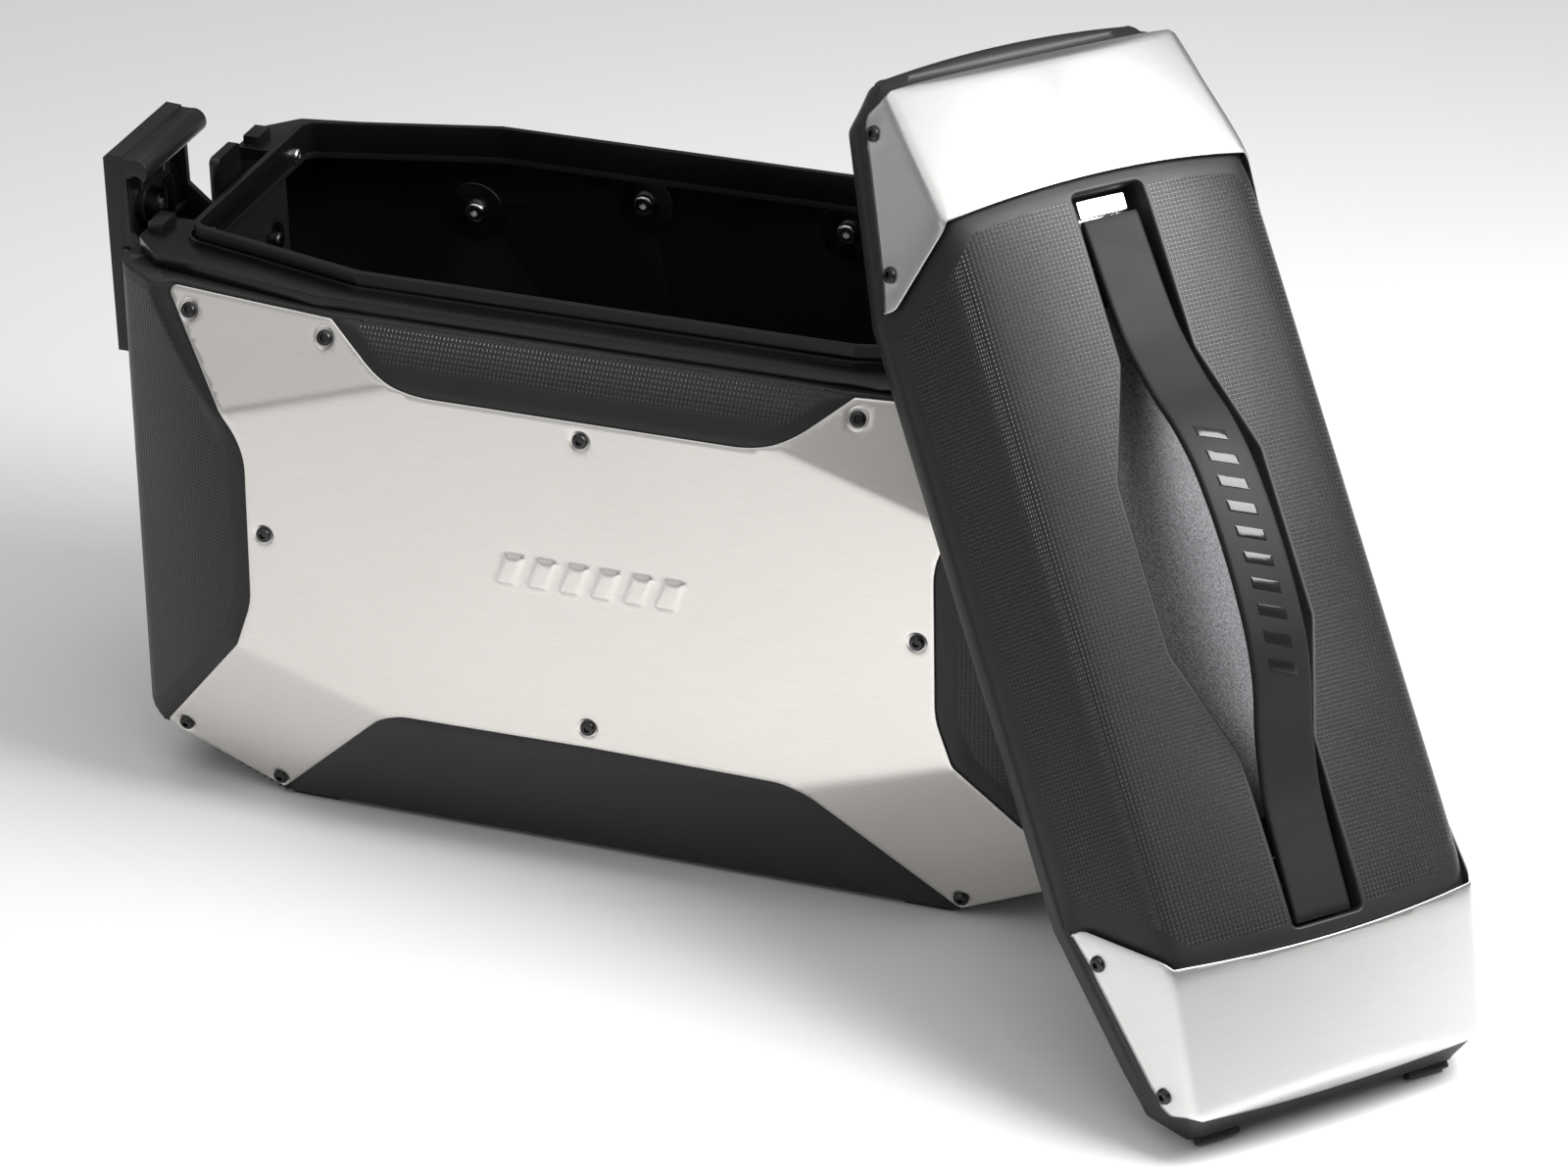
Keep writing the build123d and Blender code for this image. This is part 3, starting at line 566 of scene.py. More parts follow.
def build_panel():
    edge = resample(PANEL_LOOP, 4)
    lip = resample(rounded_inset(PANEL_LOOP, 0.5), 4)
    places = panel_screw_places(PANEL_T)
    rings = []
    for point, _ in places:
        for radius in (HOLE_R, CUP_IN, 4.7, 5.2, CUP_OUT):
            a = np.arange(24) * math.pi / 12
            rings.append(np.stack([point[0] + radius * np.cos(a), point[2] + radius * np.sin(a)], 1))
    bars = badge_loops(0.0) + badge_loops(0.55)
    points = grid_2d((-240, 0), (240, 275), 3.0)
    points = points[within(points, PANEL_LOOP)]
    gap = np.full(len(points), True)
    for point, _ in places:
        gap &= np.hypot(points[:, 0] - point[0], points[:, 1] - point[2]) > CUP_OUT + 1
    points = away_from(points[gap], [edge, lip] + bars, 1.0)
    flat, faces = sheet_2d([edge, lip] + rings + bars, points)
    middle = flat[faces].mean(1)
    keep = within(middle, edge)
    for point, _ in places:
        keep &= np.hypot(middle[:, 0] - point[0], middle[:, 1] - point[2]) > HOLE_R - 0.1
    faces = faces[keep]
    x, z = flat[:, 0], flat[:, 1]
    y = panel_back(x, z) - PANEL_T
    for point, _ in places:
        away = np.hypot(x - point[0], z - point[2])
        y += CUP_DEPTH * (1 - smoothstep(away, CUP_IN, CUP_OUT))
    rise = np.zeros(len(flat))
    for loop in badge_loops(0.0):
        rise = np.maximum(rise, 1 - smoothstep(signed(flat, loop), 0.02, 0.53))
    y -= BADGE_RISE * rise
    y += 0.35 * (1 - smoothstep(to_line(flat, edge), 0.0, 0.5))
    panel = make_mesh("front_panel_sheet", np.stack([x, y, z], 1), faces[:, ::-1], [ALUMINIUM], uv=flat)
    face_out(panel, (0, -1, 0))
    thicken(panel, 1.1)
    finish_piece(panel, "case", "brushed_aluminium", "front_panel")
    shape = torx_head()
    verts, faces = join_copies(shape, panel_screw_places(PANEL_T - CUP_DEPTH))
    screws = make_mesh("front_panel_torx_screws", verts, faces, [BLACK_STEEL])
    shade_by_angle(screws)
    finish_piece(screws, "case", "black_fastener", "front_panel_screws")


def rounded_inset(loop, inset):
    """The outline moved inwards along its own normals."""
    before, after = np.roll(loop, 1, 0), np.roll(loop, -1, 0)
    along = after - before
    along /= np.maximum(np.linalg.norm(along, axis=1), 1e-9)[:, None]
    normal = np.stack([along[:, 1], -along[:, 0]], 1)
    x, y = loop[:, 0], loop[:, 1]
    area = (x * np.roll(y, -1) - np.roll(x, -1) * y).sum()
    return loop - normal * inset * (1 if area > 0 else -1)


def face_out(piece, direction):
    """Flip the faces if the mesh looks the wrong way."""
    mesh = piece.data
    normals = np.zeros(len(mesh.polygons) * 3)
    mesh.polygons.foreach_get("normal", normals)
    if normals.reshape(-1, 3).sum(0) @ np.array(direction) < 0:
        mesh.flip_normals()


def shade_by_angle(piece, angle=32.0):
    """Smooth shading with creases where faces meet at more than the angle."""
    mesh = piece.data
    mesh.polygons.foreach_set("use_smooth", [True] * len(mesh.polygons))
    mesh.set_sharp_from_angle(angle=math.radians(angle))


build_panel()

# ------------------------------------------------------------------ case skin, wrapped round the shell
SKIN_OUT = 1.0
WING_START, WING_POWER = 172.0, 1.6
WING_RISE = 36.4 / (END_X - WING_START) ** WING_POWER
TURN_START = 244.0
SIDE_X = END_X + 1.2
FLANGE, LIP_R = 16.0, 1.6
STEP = 3.0
SCOOP_TOP_Y = -102.0


def skin_depth(x, z):
    """y of the black skin in front, over x and z."""
    flat = np.stack([x, z], 1)
    out = signed(flat, PANEL_LOOP)
    base = panel_back(x, z)
    far = np.abs(x)
    wing = front_y(z) - SKIN_OUT + WING_RISE * np.maximum(far - WING_START, 0) ** WING_POWER
    rise = np.clip((z - SCOOP_Z) / (SHELL_TOP - SCOOP_Z), 0, 1.2)
    scoop = front_y(SCOOP_Z) - SKIN_OUT + (SCOOP_TOP_Y - front_y(SCOOP_Z)) * rise ** 1.8
    drop = np.maximum(SKIRT_Z - z, 0)
    skirt_slope = (SKIRT_FOOT_Y - front_y(SKIRT_Z)) / (SKIRT_Z - SHELL_BOTTOM)
    skirt = front_y(SKIRT_Z) - SKIN_OUT + skirt_slope * (np.sqrt(drop ** 2 + 16) - 4)
    between_feet = far < END_CHAMFER_X + (z - SHELL_BOTTOM) * 0.2
    lower = np.where((z < SKIRT_Z + 6) & between_feet, skirt, wing)
    region = np.where(z > 160, np.where(far > 150, wing, scoop), np.where(far > 150, lower, skirt))
    mix = smoothstep(out, 0.0, 11.0)
    border = base - SKIN_OUT * smoothstep(out, -2.0, 2.0)
    return border * (1 - mix) + region * mix


class Section:
    """Plan-view path of the skin from the front corner round to the middle of the back."""

    def __init__(self):
        slope = math.atan(WING_RISE * WING_POWER * (TURN_START - WING_START) ** (WING_POWER - 1))
        rear = math.pi - math.atan(REAR_SLOPE)
        r1 = (SIDE_X - TURN_START) / (1 - math.sin(slope))
        r2, r3 = 10.0, 30.0
        start_y = front_y(150) - SKIN_OUT + WING_RISE * (TURN_START - WING_START) ** WING_POWER
        corner_y = BACK_Y + 1 - REAR_SLOPE * (SIDE_X - REAR_BEND_X)
        reach2 = r2 * math.tan((rear - math.pi / 2) / 2)
        reach3 = r3 * math.tan((math.pi - rear) / 2)
        line = corner_y - reach2 - start_y - r1 * math.cos(slope)
        slant = (SIDE_X - REAR_BEND_X) / abs(math.cos(rear)) - reach2 - reach3
        self.parts = [
            (r1 * (math.pi / 2 - slope), slope, math.pi / 2),
            (line, math.pi / 2, math.pi / 2),
            (r2 * (rear - math.pi / 2), math.pi / 2, rear),
            (slant, rear, rear),
            (r3 * (math.pi - rear), rear, math.pi),
            (REAR_BEND_X - reach3, math.pi, math.pi),
        ]
        self.start = np.array([TURN_START, start_y])
        self.turn_end = TURN_START + self.parts[0][0]
        self.end_y = start_y + r1 * math.cos(slope)
        self.length = TURN_START + sum(p[0] for p in self.parts)

    def at(self, s):
        """(x, y) and the path's direction at arc length s beyond the front corner."""
        u = np.maximum(s - TURN_START, 0)
        x = np.full_like(u, self.start[0])
        y = np.full_like(u, self.start[1])
        angle = np.full_like(u, self.parts[0][1])
        for length, a0, a1 in self.parts:
            run = np.clip(u, 0, length)
            if a0 == a1:
                x, y = x + run * math.cos(a0), y + run * math.sin(a0)
            else:
                r = length / (a1 - a0)
                now = a0 + run / r
                x, y = x + r * (np.sin(now) - math.sin(a0)), y - r * (np.cos(now) - math.cos(a0))
            angle = np.where(u > 0, a0 + (a1 - a0) * run / length, angle)
            u = u - run
        return x, y, angle

    def s_at_end(self, y):
        """Arc length where the end wall passes y."""
        return self.turn_end + (y - self.end_y)


SECTION = Section()


def low_z(x):
    """Height of the case's underside at x."""
    return np.maximum(SHELL_BOTTOM, 1.5 + END_CHAMFER_SLOPE * (np.abs(x) - END_CHAMFER_X))


def skin_x(s):
    """Distance from the middle plane at each arc length, front or end."""
    a = np.abs(s)
    return np.where(a < TURN_START, a, SECTION.at(a)[0])


def wrap(flat):
    """Skin point for each (s, t): t is height, with a flange turned in past each edge."""
    s, t = flat[:, 0], flat[:, 1]
    a, side = np.abs(s), np.sign(s) + (s == 0)
    px, py, angle = SECTION.at(a)
    front = a < TURN_START
    px = np.where(front, a, px)
    low = low_z(px)
    z = np.clip(t, low, SHELL_TOP)
    at_corner = skin_depth(np.where(front, a, TURN_START), z)
    reach = 6.0
    behind, ahead = (skin_depth(np.minimum(a + d, TURN_START + reach), z) for d in (-reach, reach))
    slope = np.where(front, np.clip(np.arctan2(ahead - behind, 2 * reach), 0, 1.2), angle)
    carry = (at_corner - SECTION.start[1]) * (1 - smoothstep(a, TURN_START, SECTION.turn_end + 30))
    py = np.where(front, at_corner, py + carry)
    over = np.where(t > SHELL_TOP, t - SHELL_TOP, np.where(t < low, low - t, 0))
    arc = LIP_R * math.pi / 2
    turn = np.clip(over / LIP_R, 0, math.pi / 2)
    inward = np.where(over > 0, LIP_R * (1 - np.cos(turn)) + np.maximum(over - arc, 0), 0)
    away = LIP_R * np.sin(turn) * (over > 0)
    px = px - np.sin(slope) * inward
    py = py + np.cos(slope) * inward
    up = SHELL_TOP - LIP_R * 0.7 + away
    down = low_z(px) + LIP_R * 0.8 - away
    z = np.where(t > SHELL_TOP - 1e-6, up, np.where(t < low + 1e-6, down, z))
    return np.stack([px * side, py, z], 1)


def bay_loop(side, grow=0.0):
    """Latch bay's opening on the (s, t) sheet."""
    a, b = SECTION.s_at_end(-BAY_HALF_W - grow), SECTION.s_at_end(BAY_HALF_W + grow)
    low, high = BAY_FLOOR - grow, SHELL_TOP + FLANGE * 2
    loop = rounded([(a, low), (b, low), (b, high), (a, high)], (4, 4, None, None))
    return loop * np.array([side, 1])


def wing_loop(side):
    """Edge of the textured field on one wing and end wall."""
    s0, s1 = SECTION.s_at_end(52), SECTION.s_at_end(-52)
    points = [
        (181, 204), (182, 122), (191, 101), (243, 40), (SECTION.s_at_end(0), 47), (s0, 45), (s0, 266),
        (SECTION.s_at_end(50), 266), (SECTION.s_at_end(50), 188), (s1 + 2, 188), (s1, 266), (227, 266),
    ]
    loop = rounded(points, (34, 30, 8, 3, 20, 6, 3, 1, 6, 6, 2, 2))
    return loop * np.array([side, 1])


def build_skin():
    total = SECTION.length
    across = np.arange(-total, total + 0.1, 4.0)
    across = np.append(across[:-1], total)
    px = skin_x(across)
    bottom = np.stack([across, low_z(px) - FLANGE], 1)
    top = np.stack([across, np.full_like(across, SHELL_TOP + FLANGE)], 1)[::-1]
    edge = np.vstack([bottom, top])
    foot = np.stack([across, low_z(px)], 1)
    levels = []
    for k in (0.0, 0.25, 0.5, 0.75, 1.0):
        reach = k * LIP_R * math.pi / 2
        levels += [foot - (0, reach), np.stack([across, np.full_like(across, SHELL_TOP + reach)], 1)]
    levels += [foot + (0, 1.5), np.stack([across, np.full_like(across, SHELL_TOP - 1.5)], 1)]
    inner_panel = resample(rounded_inset(PANEL_LOOP, 4.0), 6)
    loops = [edge, resample(PANEL_LOOP, 4), inner_panel, resample(SCOOP_LOOP, 4)]
    for side in (1, -1):
        loops += [resample(bay_loop(side), 4), resample(wing_loop(side), 4)]
    fine = grid_2d((-total, -20), (total, 290), STEP)
    coarse = grid_2d((-total, -20), (total, 290), 9.0)
    a = np.abs(fine[:, 0])
    fine = fine[(a < SECTION.turn_end + 30) & ~within(fine, inner_panel)]
    a = np.abs(coarse[:, 0])
    coarse = coarse[(a >= SECTION.turn_end + 30) | within(coarse, inner_panel)]
    turns = []
    for radius_s in (SECTION.turn_end + SECTION.parts[1][0], SECTION.length - REAR_BEND_X):
        for k in np.linspace(-2, 16, 7):
            for z in np.arange(-8, 285, 9.0):
                turns += [(radius_s + k, z), (-radius_s - k, z)]
    points = np.vstack([fine, coarse, np.array(turns)])
    px = skin_x(points[:, 0])
    inside = (points[:, 1] > low_z(px) + 2.4) & (points[:, 1] < SHELL_TOP - 2.4)
    points = away_from(points[inside & (np.abs(points[:, 0]) < total - 1)], loops[1:], 1.0)
    flat, faces = sheet_2d(loops, np.vstack([points] + levels))
    middle = flat[faces].mean(1)
    keep = within(middle, edge)
    for side in (1, -1):
        keep &= ~within(middle, bay_loop(side))
    faces, middle = faces[keep], middle[keep]
    marks = within(middle, SCOOP_LOOP) | within(middle, wing_loop(1)) | within(middle, wing_loop(-1))
    verts = wrap(flat)
    skin = make_mesh("case_skin", verts, faces, [PLASTIC, KNURL], marks.astype(int), flat)
    face_out_from(skin, Vector((0, -0.01, 0.14)))
    thicken(skin, 0.9)
    finish_piece(skin, "case", "case_plastic")


def face_out_from(piece, centre):
    """Turn every face away from the centre point."""
    mesh = piece.data
    total = 0.0
    for face in mesh.polygons:
        total += face.normal.dot(face.center - centre) * face.area
    if total < 0:
        mesh.flip_normals()


build_skin()

# ------------------------------------------------------------------ lid frame
lean, yaw = math.radians(LID_LEAN), math.radians(LID_YAW)
across_dir = Vector((math.cos(yaw), math.sin(yaw), 0))
out_dir = Vector((math.sin(yaw), -math.cos(yaw), 0))
along_dir = out_dir * math.cos(lean) - Vector((0, 0, math.sin(lean)))
top_dir = along_dir.cross(across_dir)
lid_height = CATCH_X * math.sin(lean) - CATCH_Z * math.cos(lean)
LID_MATRIX = Matrix((along_dir, across_dir, top_dir)).transposed().to_4x4()
LID_MATRIX.translation = Vector((*LID_ORIGIN_XY, lid_height)) * MM

LID_INSIDE = (0, 0, 20)
LID_FLAP = plane(LID_SHOULDER, LID_CORNER, LID_FLAP_TIP, LID_INSIDE)
LID_SIDE = plane(
    (0, LID_SHOULDER[1], LID_SHOULDER[2] + 1.5), (50, LID_SHOULDER[1], LID_SHOULDER[2] + 1.5),
    (0, LID_FLAP_TIP[1], LID_FLAP_TIP[2]), LID_INSIDE,
)
LID_END = plane(
    (LID_CORNER[0], 0, LID_CORNER[2]), (LID_CORNER[0], 50, LID_CORNER[2]), (LID_OUT[2][0], 0, 10), LID_INSIDE
)
SLOPE_FALL = (LID_SHOULDER[2] - LID_CORNER[2]) / (LID_CORNER[0] - LID_SHOULDER[0])
LID_PLANES = [LID_END, LID_SIDE, LID_FLAP]
LID_PLANES += [flipped(p, 0) for p in LID_PLANES]
LID_PLANES += [flipped(p, 1) for p in LID_PLANES]


def lid_height_at(x, y, grow=0.0, radius=1.0):
    """z of the lid's outer form moved out by grow, over x and y: crowned top and slopes between planes."""
    crown = LID_CROWN_TOP + grow - LID_CROWN * y ** 2
    lean_in = math.hypot(1, SLOPE_FALL)
    slopes = crown - grow + grow * lean_in - SLOPE_FALL * (np.abs(x) - LID_SHOULDER[0])
    points = np.stack([x, y, np.zeros_like(x)], 1)
    points[:, 2] = 120.0
    rises = np.array([n[2] for _, n in LID_PLANES] + [1.0, 1 / lean_in])
    for _ in range(40):
        gaps = [(points - p) @ n - grow for p, n in LID_PLANES]
        gaps = np.array(gaps + [points[:, 2] - crown, (points[:, 2] - slopes) / lean_in])
        peak = gaps.max(0)
        weights = np.exp((gaps - peak) / radius)
        value = peak + radius * np.log(weights.sum(0))
        points[:, 2] -= value / ((weights * rises[:, None]).sum(0) / weights.sum(0))
    return points[:, 2]


def end_arc(x_side, bow, half_w, y):
    """x of a lid end's bowed edge, furthest out in the middle."""
    return x_side + bow * (1 - (np.asarray(y) / half_w) ** 2)


def four_ways(quarter, radii):
    """Doubly symmetric rounded outline from its first quarter, which ends at the lid's end."""
    half = quarter[::-1] + [(-x, y) for x, y in quarter]
    return rounded(half + [(x, -y) for x, y in half[::-1]], (radii[::-1] + radii) * 2)


def ring(corners, radius, grow=0.0):
    return four_ways([(x + grow, y + grow) for x, y in corners], [radius] * len(corners))


def recess_loop(grow=0.0):
    corners = [
        (RECESS_MID_X, RECESS_MID_HALF_W + grow),
        (RECESS_NECK_X, RECESS_HALF_W + 0.5 + grow),
        (RECESS_END + grow, RECESS_HALF_W + grow),
    ]
    return four_ways(corners, [10, 14, 3 + grow])


def flap_y(x, z):
    """y of the lid's corner facet at x and z."""
    point, normal = LID_FLAP
    return point[1] - (normal[0] * (x - point[0]) + normal[2] * (z - point[2])) / normal[1]


def plate_loop(side):
    """Outline of one bent end plate, seen from above, with bowed inner and outer edges."""
    inner = [(float(end_arc(170.4, 4.8, 76.5, y)), y) for y in np.linspace(0, 70, 8)]
    outer = [(float(end_arc(237.4, 2.8, 72, y)), y) for y in np.linspace(63, 0, 8)]
    tip = LID_FLAP_TIP[0] + 1.5
    bend = [
        (170.6, LID_SHOULDER[1] - 0.6),
        (tip, flap_y(tip, LID_FLAP_TIP[2] + 4.0)),
        (LID_FLAP_TIP[0] + 4.0, flap_y(LID_FLAP_TIP[0] + 4.0, 11.2)),
        (226.5, flap_y(226.5, 11.0)),
        (231.5, flap_y(231.5, 13.5)),
        (237.6, 71.4),
    ]
    half = inner + bend + outer
    radii = [None] * 8 + [1.5, 2, 2, 3, 3, 2] + [None] * 8
    points = half + [(x, -y) for x, y in half[-2:0:-1]]
    loop = rounded(points, radii + radii[-2:0:-1])
    return loop * np.array([side, 1])


TEXTURE_X, TEXTURE_Y = 161.5, 94.5
RIM_BOW = 5.0


def on_lid(piece, slot, *nodes):
    """Set a piece drawn in the lid's own frame in its place."""
    piece.data.transform(LID_MATRIX)
    return finish_piece(piece, "lid", slot, *nodes)


def texture_loop():
    """Edge of the lid's textured field, short of the end plates and the side rims."""
    arc = [(float(end_arc(TEXTURE_X, 4.8, 76.5, y)), y) for y in np.linspace(-66, 66, 12)]
    points = arc + [(130, TEXTURE_Y), (-130, TEXTURE_Y)] + [(-x, y) for x, y in arc[::-1]]
    points += [(-130, -TEXTURE_Y), (130, -TEXTURE_Y)]
    return rounded(points, [4] + [None] * 10 + [4, 3, 3, 4] + [None] * 10 + [4, 3, 3])


def lid_outline():
    """The lid's rim seen from above; its upper end is bowed a little."""
    loop = resample(ring(LID_OUT, 5, 0.4), 4)
    x, y = loop[:, 0], loop[:, 1]
    reach = np.clip(1 - (y / 72) ** 2, 0, 1) * (x < -230) * RIM_BOW
    return np.stack([x + np.sign(x) * reach, y], 1)


LID_SOFT = 2.4


def build_lid_skin():
    outer = lid_outline()
    steps = (0.9, 0.3, -0.1, -0.5, -0.9, -2.4, -3.4)
    rims = [resample(recess_loop(g), 4) for g in steps]
    drops = [0.0, 0.15, 0.8, 2.6, RECESS_DEPTH - 3.4, RECESS_DEPTH - 1.4, RECESS_DEPTH - 0.8]
    plates = [resample(plate_loop(side), 4) for side in (1, -1)]
    fields = resample(texture_loop(), 4)
    margin = resample(recess_loop(1.8), 4)
    points = grid_2d((-250, -100), (250, 100), 3.0)
    points = points[within(points, outer)]
    points = away_from(points, [outer, fields, margin] + rims[:3] + plates, 1.2)
    points = points[~within(points, rims[0])]
    floor_points = grid_2d((-165, -36), (165, 36), 6.0)
    floor_points = floor_points[within(floor_points, rims[-1])]
    floor_points = away_from(floor_points, [rims[-1]], 2.0)
    flat, faces = sheet_2d([outer, fields, margin] + rims + plates, np.vstack([points, floor_points]))
    faces = faces[within(flat[faces].mean(1), outer)]
    middle = flat[faces].mean(1)
    z = lid_height_at(flat[:, 0], flat[:, 1], 0.9, LID_SOFT)
    z = np.maximum(z, 11.5)
    beside = np.minimum(signed(flat, plate_loop(1)), signed(flat, plate_loop(-1)))
    z -= 0.8 * (1 - smoothstep(beside, -1.0, 6.0)) * (z > 12)
    depth = np.interp(-signed(flat, rims[0]), [0, 0.6, 1.0, 1.4, 1.8, 3.3, 4.3], drops)
    depth[~within(flat, rims[0])] = 0
    floor_z = LID_CROWN_TOP - RECESS_DEPTH
    sunk = np.maximum(depth - 3.0, 0) / (RECESS_DEPTH - 3.8)
    z = np.where(depth > 0, z - np.minimum(depth, 3.0) - sunk * (z - 3.0 - floor_z), z)
    textured = within(middle, texture_loop()) & ~within(middle, recess_loop(1.8))
    verts = np.stack([flat[:, 0], flat[:, 1], z], 1)
    run = np.where(np.abs(flat[:, 1]) > 74, 74 + (np.abs(flat[:, 1]) - 74) * 2.35, np.abs(flat[:, 1]))
    uv = np.stack([flat[:, 0], np.sign(flat[:, 1]) * run], 1)
    verts, faces, uv, marks = skirt_down(verts, faces, uv, textured.astype(int), outer)
    skin = make_mesh("lid_skin", verts, faces, [PLASTIC, KNURL, INTERIOR], marks, uv)
    face_out(skin, (0, 0, 1))
    thicken(skin, 2.6)
    skin.modifiers["thickness"].material_offset = 2
    on_lid(skin, "case_plastic", "lid_shell")


def skirt_down(verts, faces, uv, marks, outer):
    """Carry the sheet's outer edge down to the rim: a wall, a proud band and a turned-in lip.

    The band dies away at the lower end, which stands on the floor.
    """
    index = [int(np.argmin(np.hypot(verts[:, 0] - x, verts[:, 1] - y))) for x, y in outer]
    normal = rounded_inset(outer, -1.0) - outer
    rows = [(0.0, 11.4), (0.9, 10.6), (1.4, 9.8), (1.4, 1.2), (0.9, 0.3), (0.0, 0.0)]
    verts, faces, uv, marks = list(verts), [tuple(f) for f in faces], list(uv), list(marks)
    previous = index
    for proud, height in rows:
        start = len(verts)
        for (x, y), n in zip(outer, normal):
            reach = proud * (1 - float(smoothstep(x, 205.0, 228.0)))
            verts.append(np.array([x + n[0] * reach, y + n[1] * reach, height]))
            uv.append(np.array([x, y]))
        now = list(range(start, start + len(outer)))
        for i in range(len(outer)):
            j = (i + 1) % len(outer)
            faces.append((previous[i], now[i], now[j], previous[j]))
            marks.append(0)
        previous = now
    return np.array(verts), faces, np.array(uv), marks


def lid_screw_places(offset):
    places = []
    point, normal = LID_FLAP
    for x, z in LID_SCREWS:
        spot = np.array([x, flap_y(x, z), z]) + normal * offset
        for sx in (1, -1):
            for sy in (1, -1):
                flip = np.array([sx, sy, 1])
                places.append((spot * flip, normal * flip))
    return places


LID_PLATE_OUT, LID_CUP = 1.9, 0.6


def build_lid_plates():
    for side, name in ((1, "lower"), (-1, "upper")):
        edge = resample(plate_loop(side), 3)
        lip = resample(rounded_inset(plate_loop(side), 0.5), 3)
        places = [p for p in lid_screw_places(0) if p[0][0] * side > 0]
        points = grid_2d((-246, -100), (246, 100), 2.0)
        points = points[within(points, edge)]
        points = away_from(points, [edge, lip], 0.8)
        flat, faces = sheet_2d([edge, lip], points)
        faces = faces[within(flat[faces].mean(1), edge)]
        z = np.maximum(lid_height_at(flat[:, 0], flat[:, 1], LID_PLATE_OUT, 0.9), 9.0)
        verts = np.stack([flat[:, 0], flat[:, 1], z], 1)
        for point, normal in places:
            away = np.linalg.norm(verts - (point + normal * LID_PLATE_OUT), axis=1)
            verts -= normal * (LID_CUP * (1 - smoothstep(away, 4.0, 7.0)))[:, None]
        verts[:, 2] -= 0.3 * (1 - smoothstep(to_line(flat, edge), 0.0, 0.5))
        plate = make_mesh(f"lid_{name}_plate_sheet", verts, faces, [LID_ALUMINIUM], uv=flat)
        face_out(plate, (0, 0, 1))
        thicken(plate, 1.0)
        on_lid(plate, "brushed_aluminium", f"lid_{name}_end_plate")
    verts, faces = join_copies(torx_head(), lid_screw_places(LID_PLATE_OUT - LID_CUP))
    screws = make_mesh("lid_plate_torx_screws", verts, faces, [BLACK_STEEL])
    shade_by_angle(screws)
    on_lid(screws, "black_fastener", "lid_plate_screws")


build_lid_skin()
build_lid_plates()


# ------------------------------------------------------------------ strap handle
def strap_line(x):
    """Underside height of the strap at x: a smooth curve through its rises."""
    away = np.abs(np.asarray(x, float) - sum(STRAP_ENDS) / 2)
    at, rise = np.array(STRAP_RISE, float).T
    at, rise = np.concatenate([-at[:0:-1], at]), np.concatenate([rise[:0:-1], rise])
    slope = np.gradient(rise, at)
    k = np.clip(np.searchsorted(at, away) - 1, 0, len(at) - 2)
    width = at[k + 1] - at[k]
    t = (away - at[k]) / width
    start = (2 * t ** 3 - 3 * t ** 2 + 1) * rise[k] + (t ** 3 - 2 * t ** 2 + t) * width * slope[k]
    end = (3 * t ** 2 - 2 * t ** 3) * rise[k + 1] + (t ** 3 - t ** 2) * width * slope[k + 1]
    return STRAP_END_Z + start + end


MARK_PLACES = [5 + 11.5 * (k - 4.5) for k in range(10)]
MARK_W, MARK_HALF, MARK_SLANT, MARK_RISE = 5.0, 6.6, 2.6, 0.45


def above_strap(x, y, h):
    """The point h above the strap's underside at x and y, square to its curve."""
    line = strap_line(np.array([x - 0.5, x, x + 0.5]))
    slope = line[2] - line[0]
    tilt = np.array([-slope, 1.0]) / math.hypot(slope, 1)
    return x + tilt[0] * h, y, line[1] + tilt[1] * h


def strap_mark(centre):
    """One raised slanted bar on the strap's face, following its curve."""
    across = np.array([-1, -0.97, -0.86, -0.4, 0, 0.4, 0.86, 0.97, 1]) * MARK_HALF
    along = np.array([-1, -0.94, -0.72, 0, 0.72, 0.94, 1]) * MARK_W / 2
    verts, faces = [], []
    for i, u in enumerate(along):
        for j, y in enumerate(across):
            edge = min(i, len(along) - 1 - i, j, len(across) - 1 - j)
            h = STRAP_T + (-0.2, MARK_RISE * 0.75, MARK_RISE)[min(edge, 2)]
            verts.append(above_strap(centre + u + MARK_SLANT * y / MARK_HALF, y, h))
    n = len(across)
    for i in range(len(along) - 1):
        for j in range(n - 1):
            faces.append((i * n + j, (i + 1) * n + j, (i + 1) * n + j + 1, i * n + j + 1))
    return verts, faces


def band(xs, section):
    """Vertices and side faces of a band along the strap; section(x) is its outline of (y, height)."""
    verts, faces = [], []
    for k, x in enumerate(xs):
        outline = section(x)
        n = len(outline)
        verts += [above_strap(x, y, h) for y, h in outline]
        if k:
            a, b = (k - 1) * n, k * n
            faces += [(a + i, a + (i + 1) % n, b + (i + 1) % n, b + i) for i in range(n)]
    return verts, faces


def bend_with_strap(piece):
    """Set the piece on the lid."""
    piece.data.transform(LID_MATRIX)
    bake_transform(piece)
    return piece


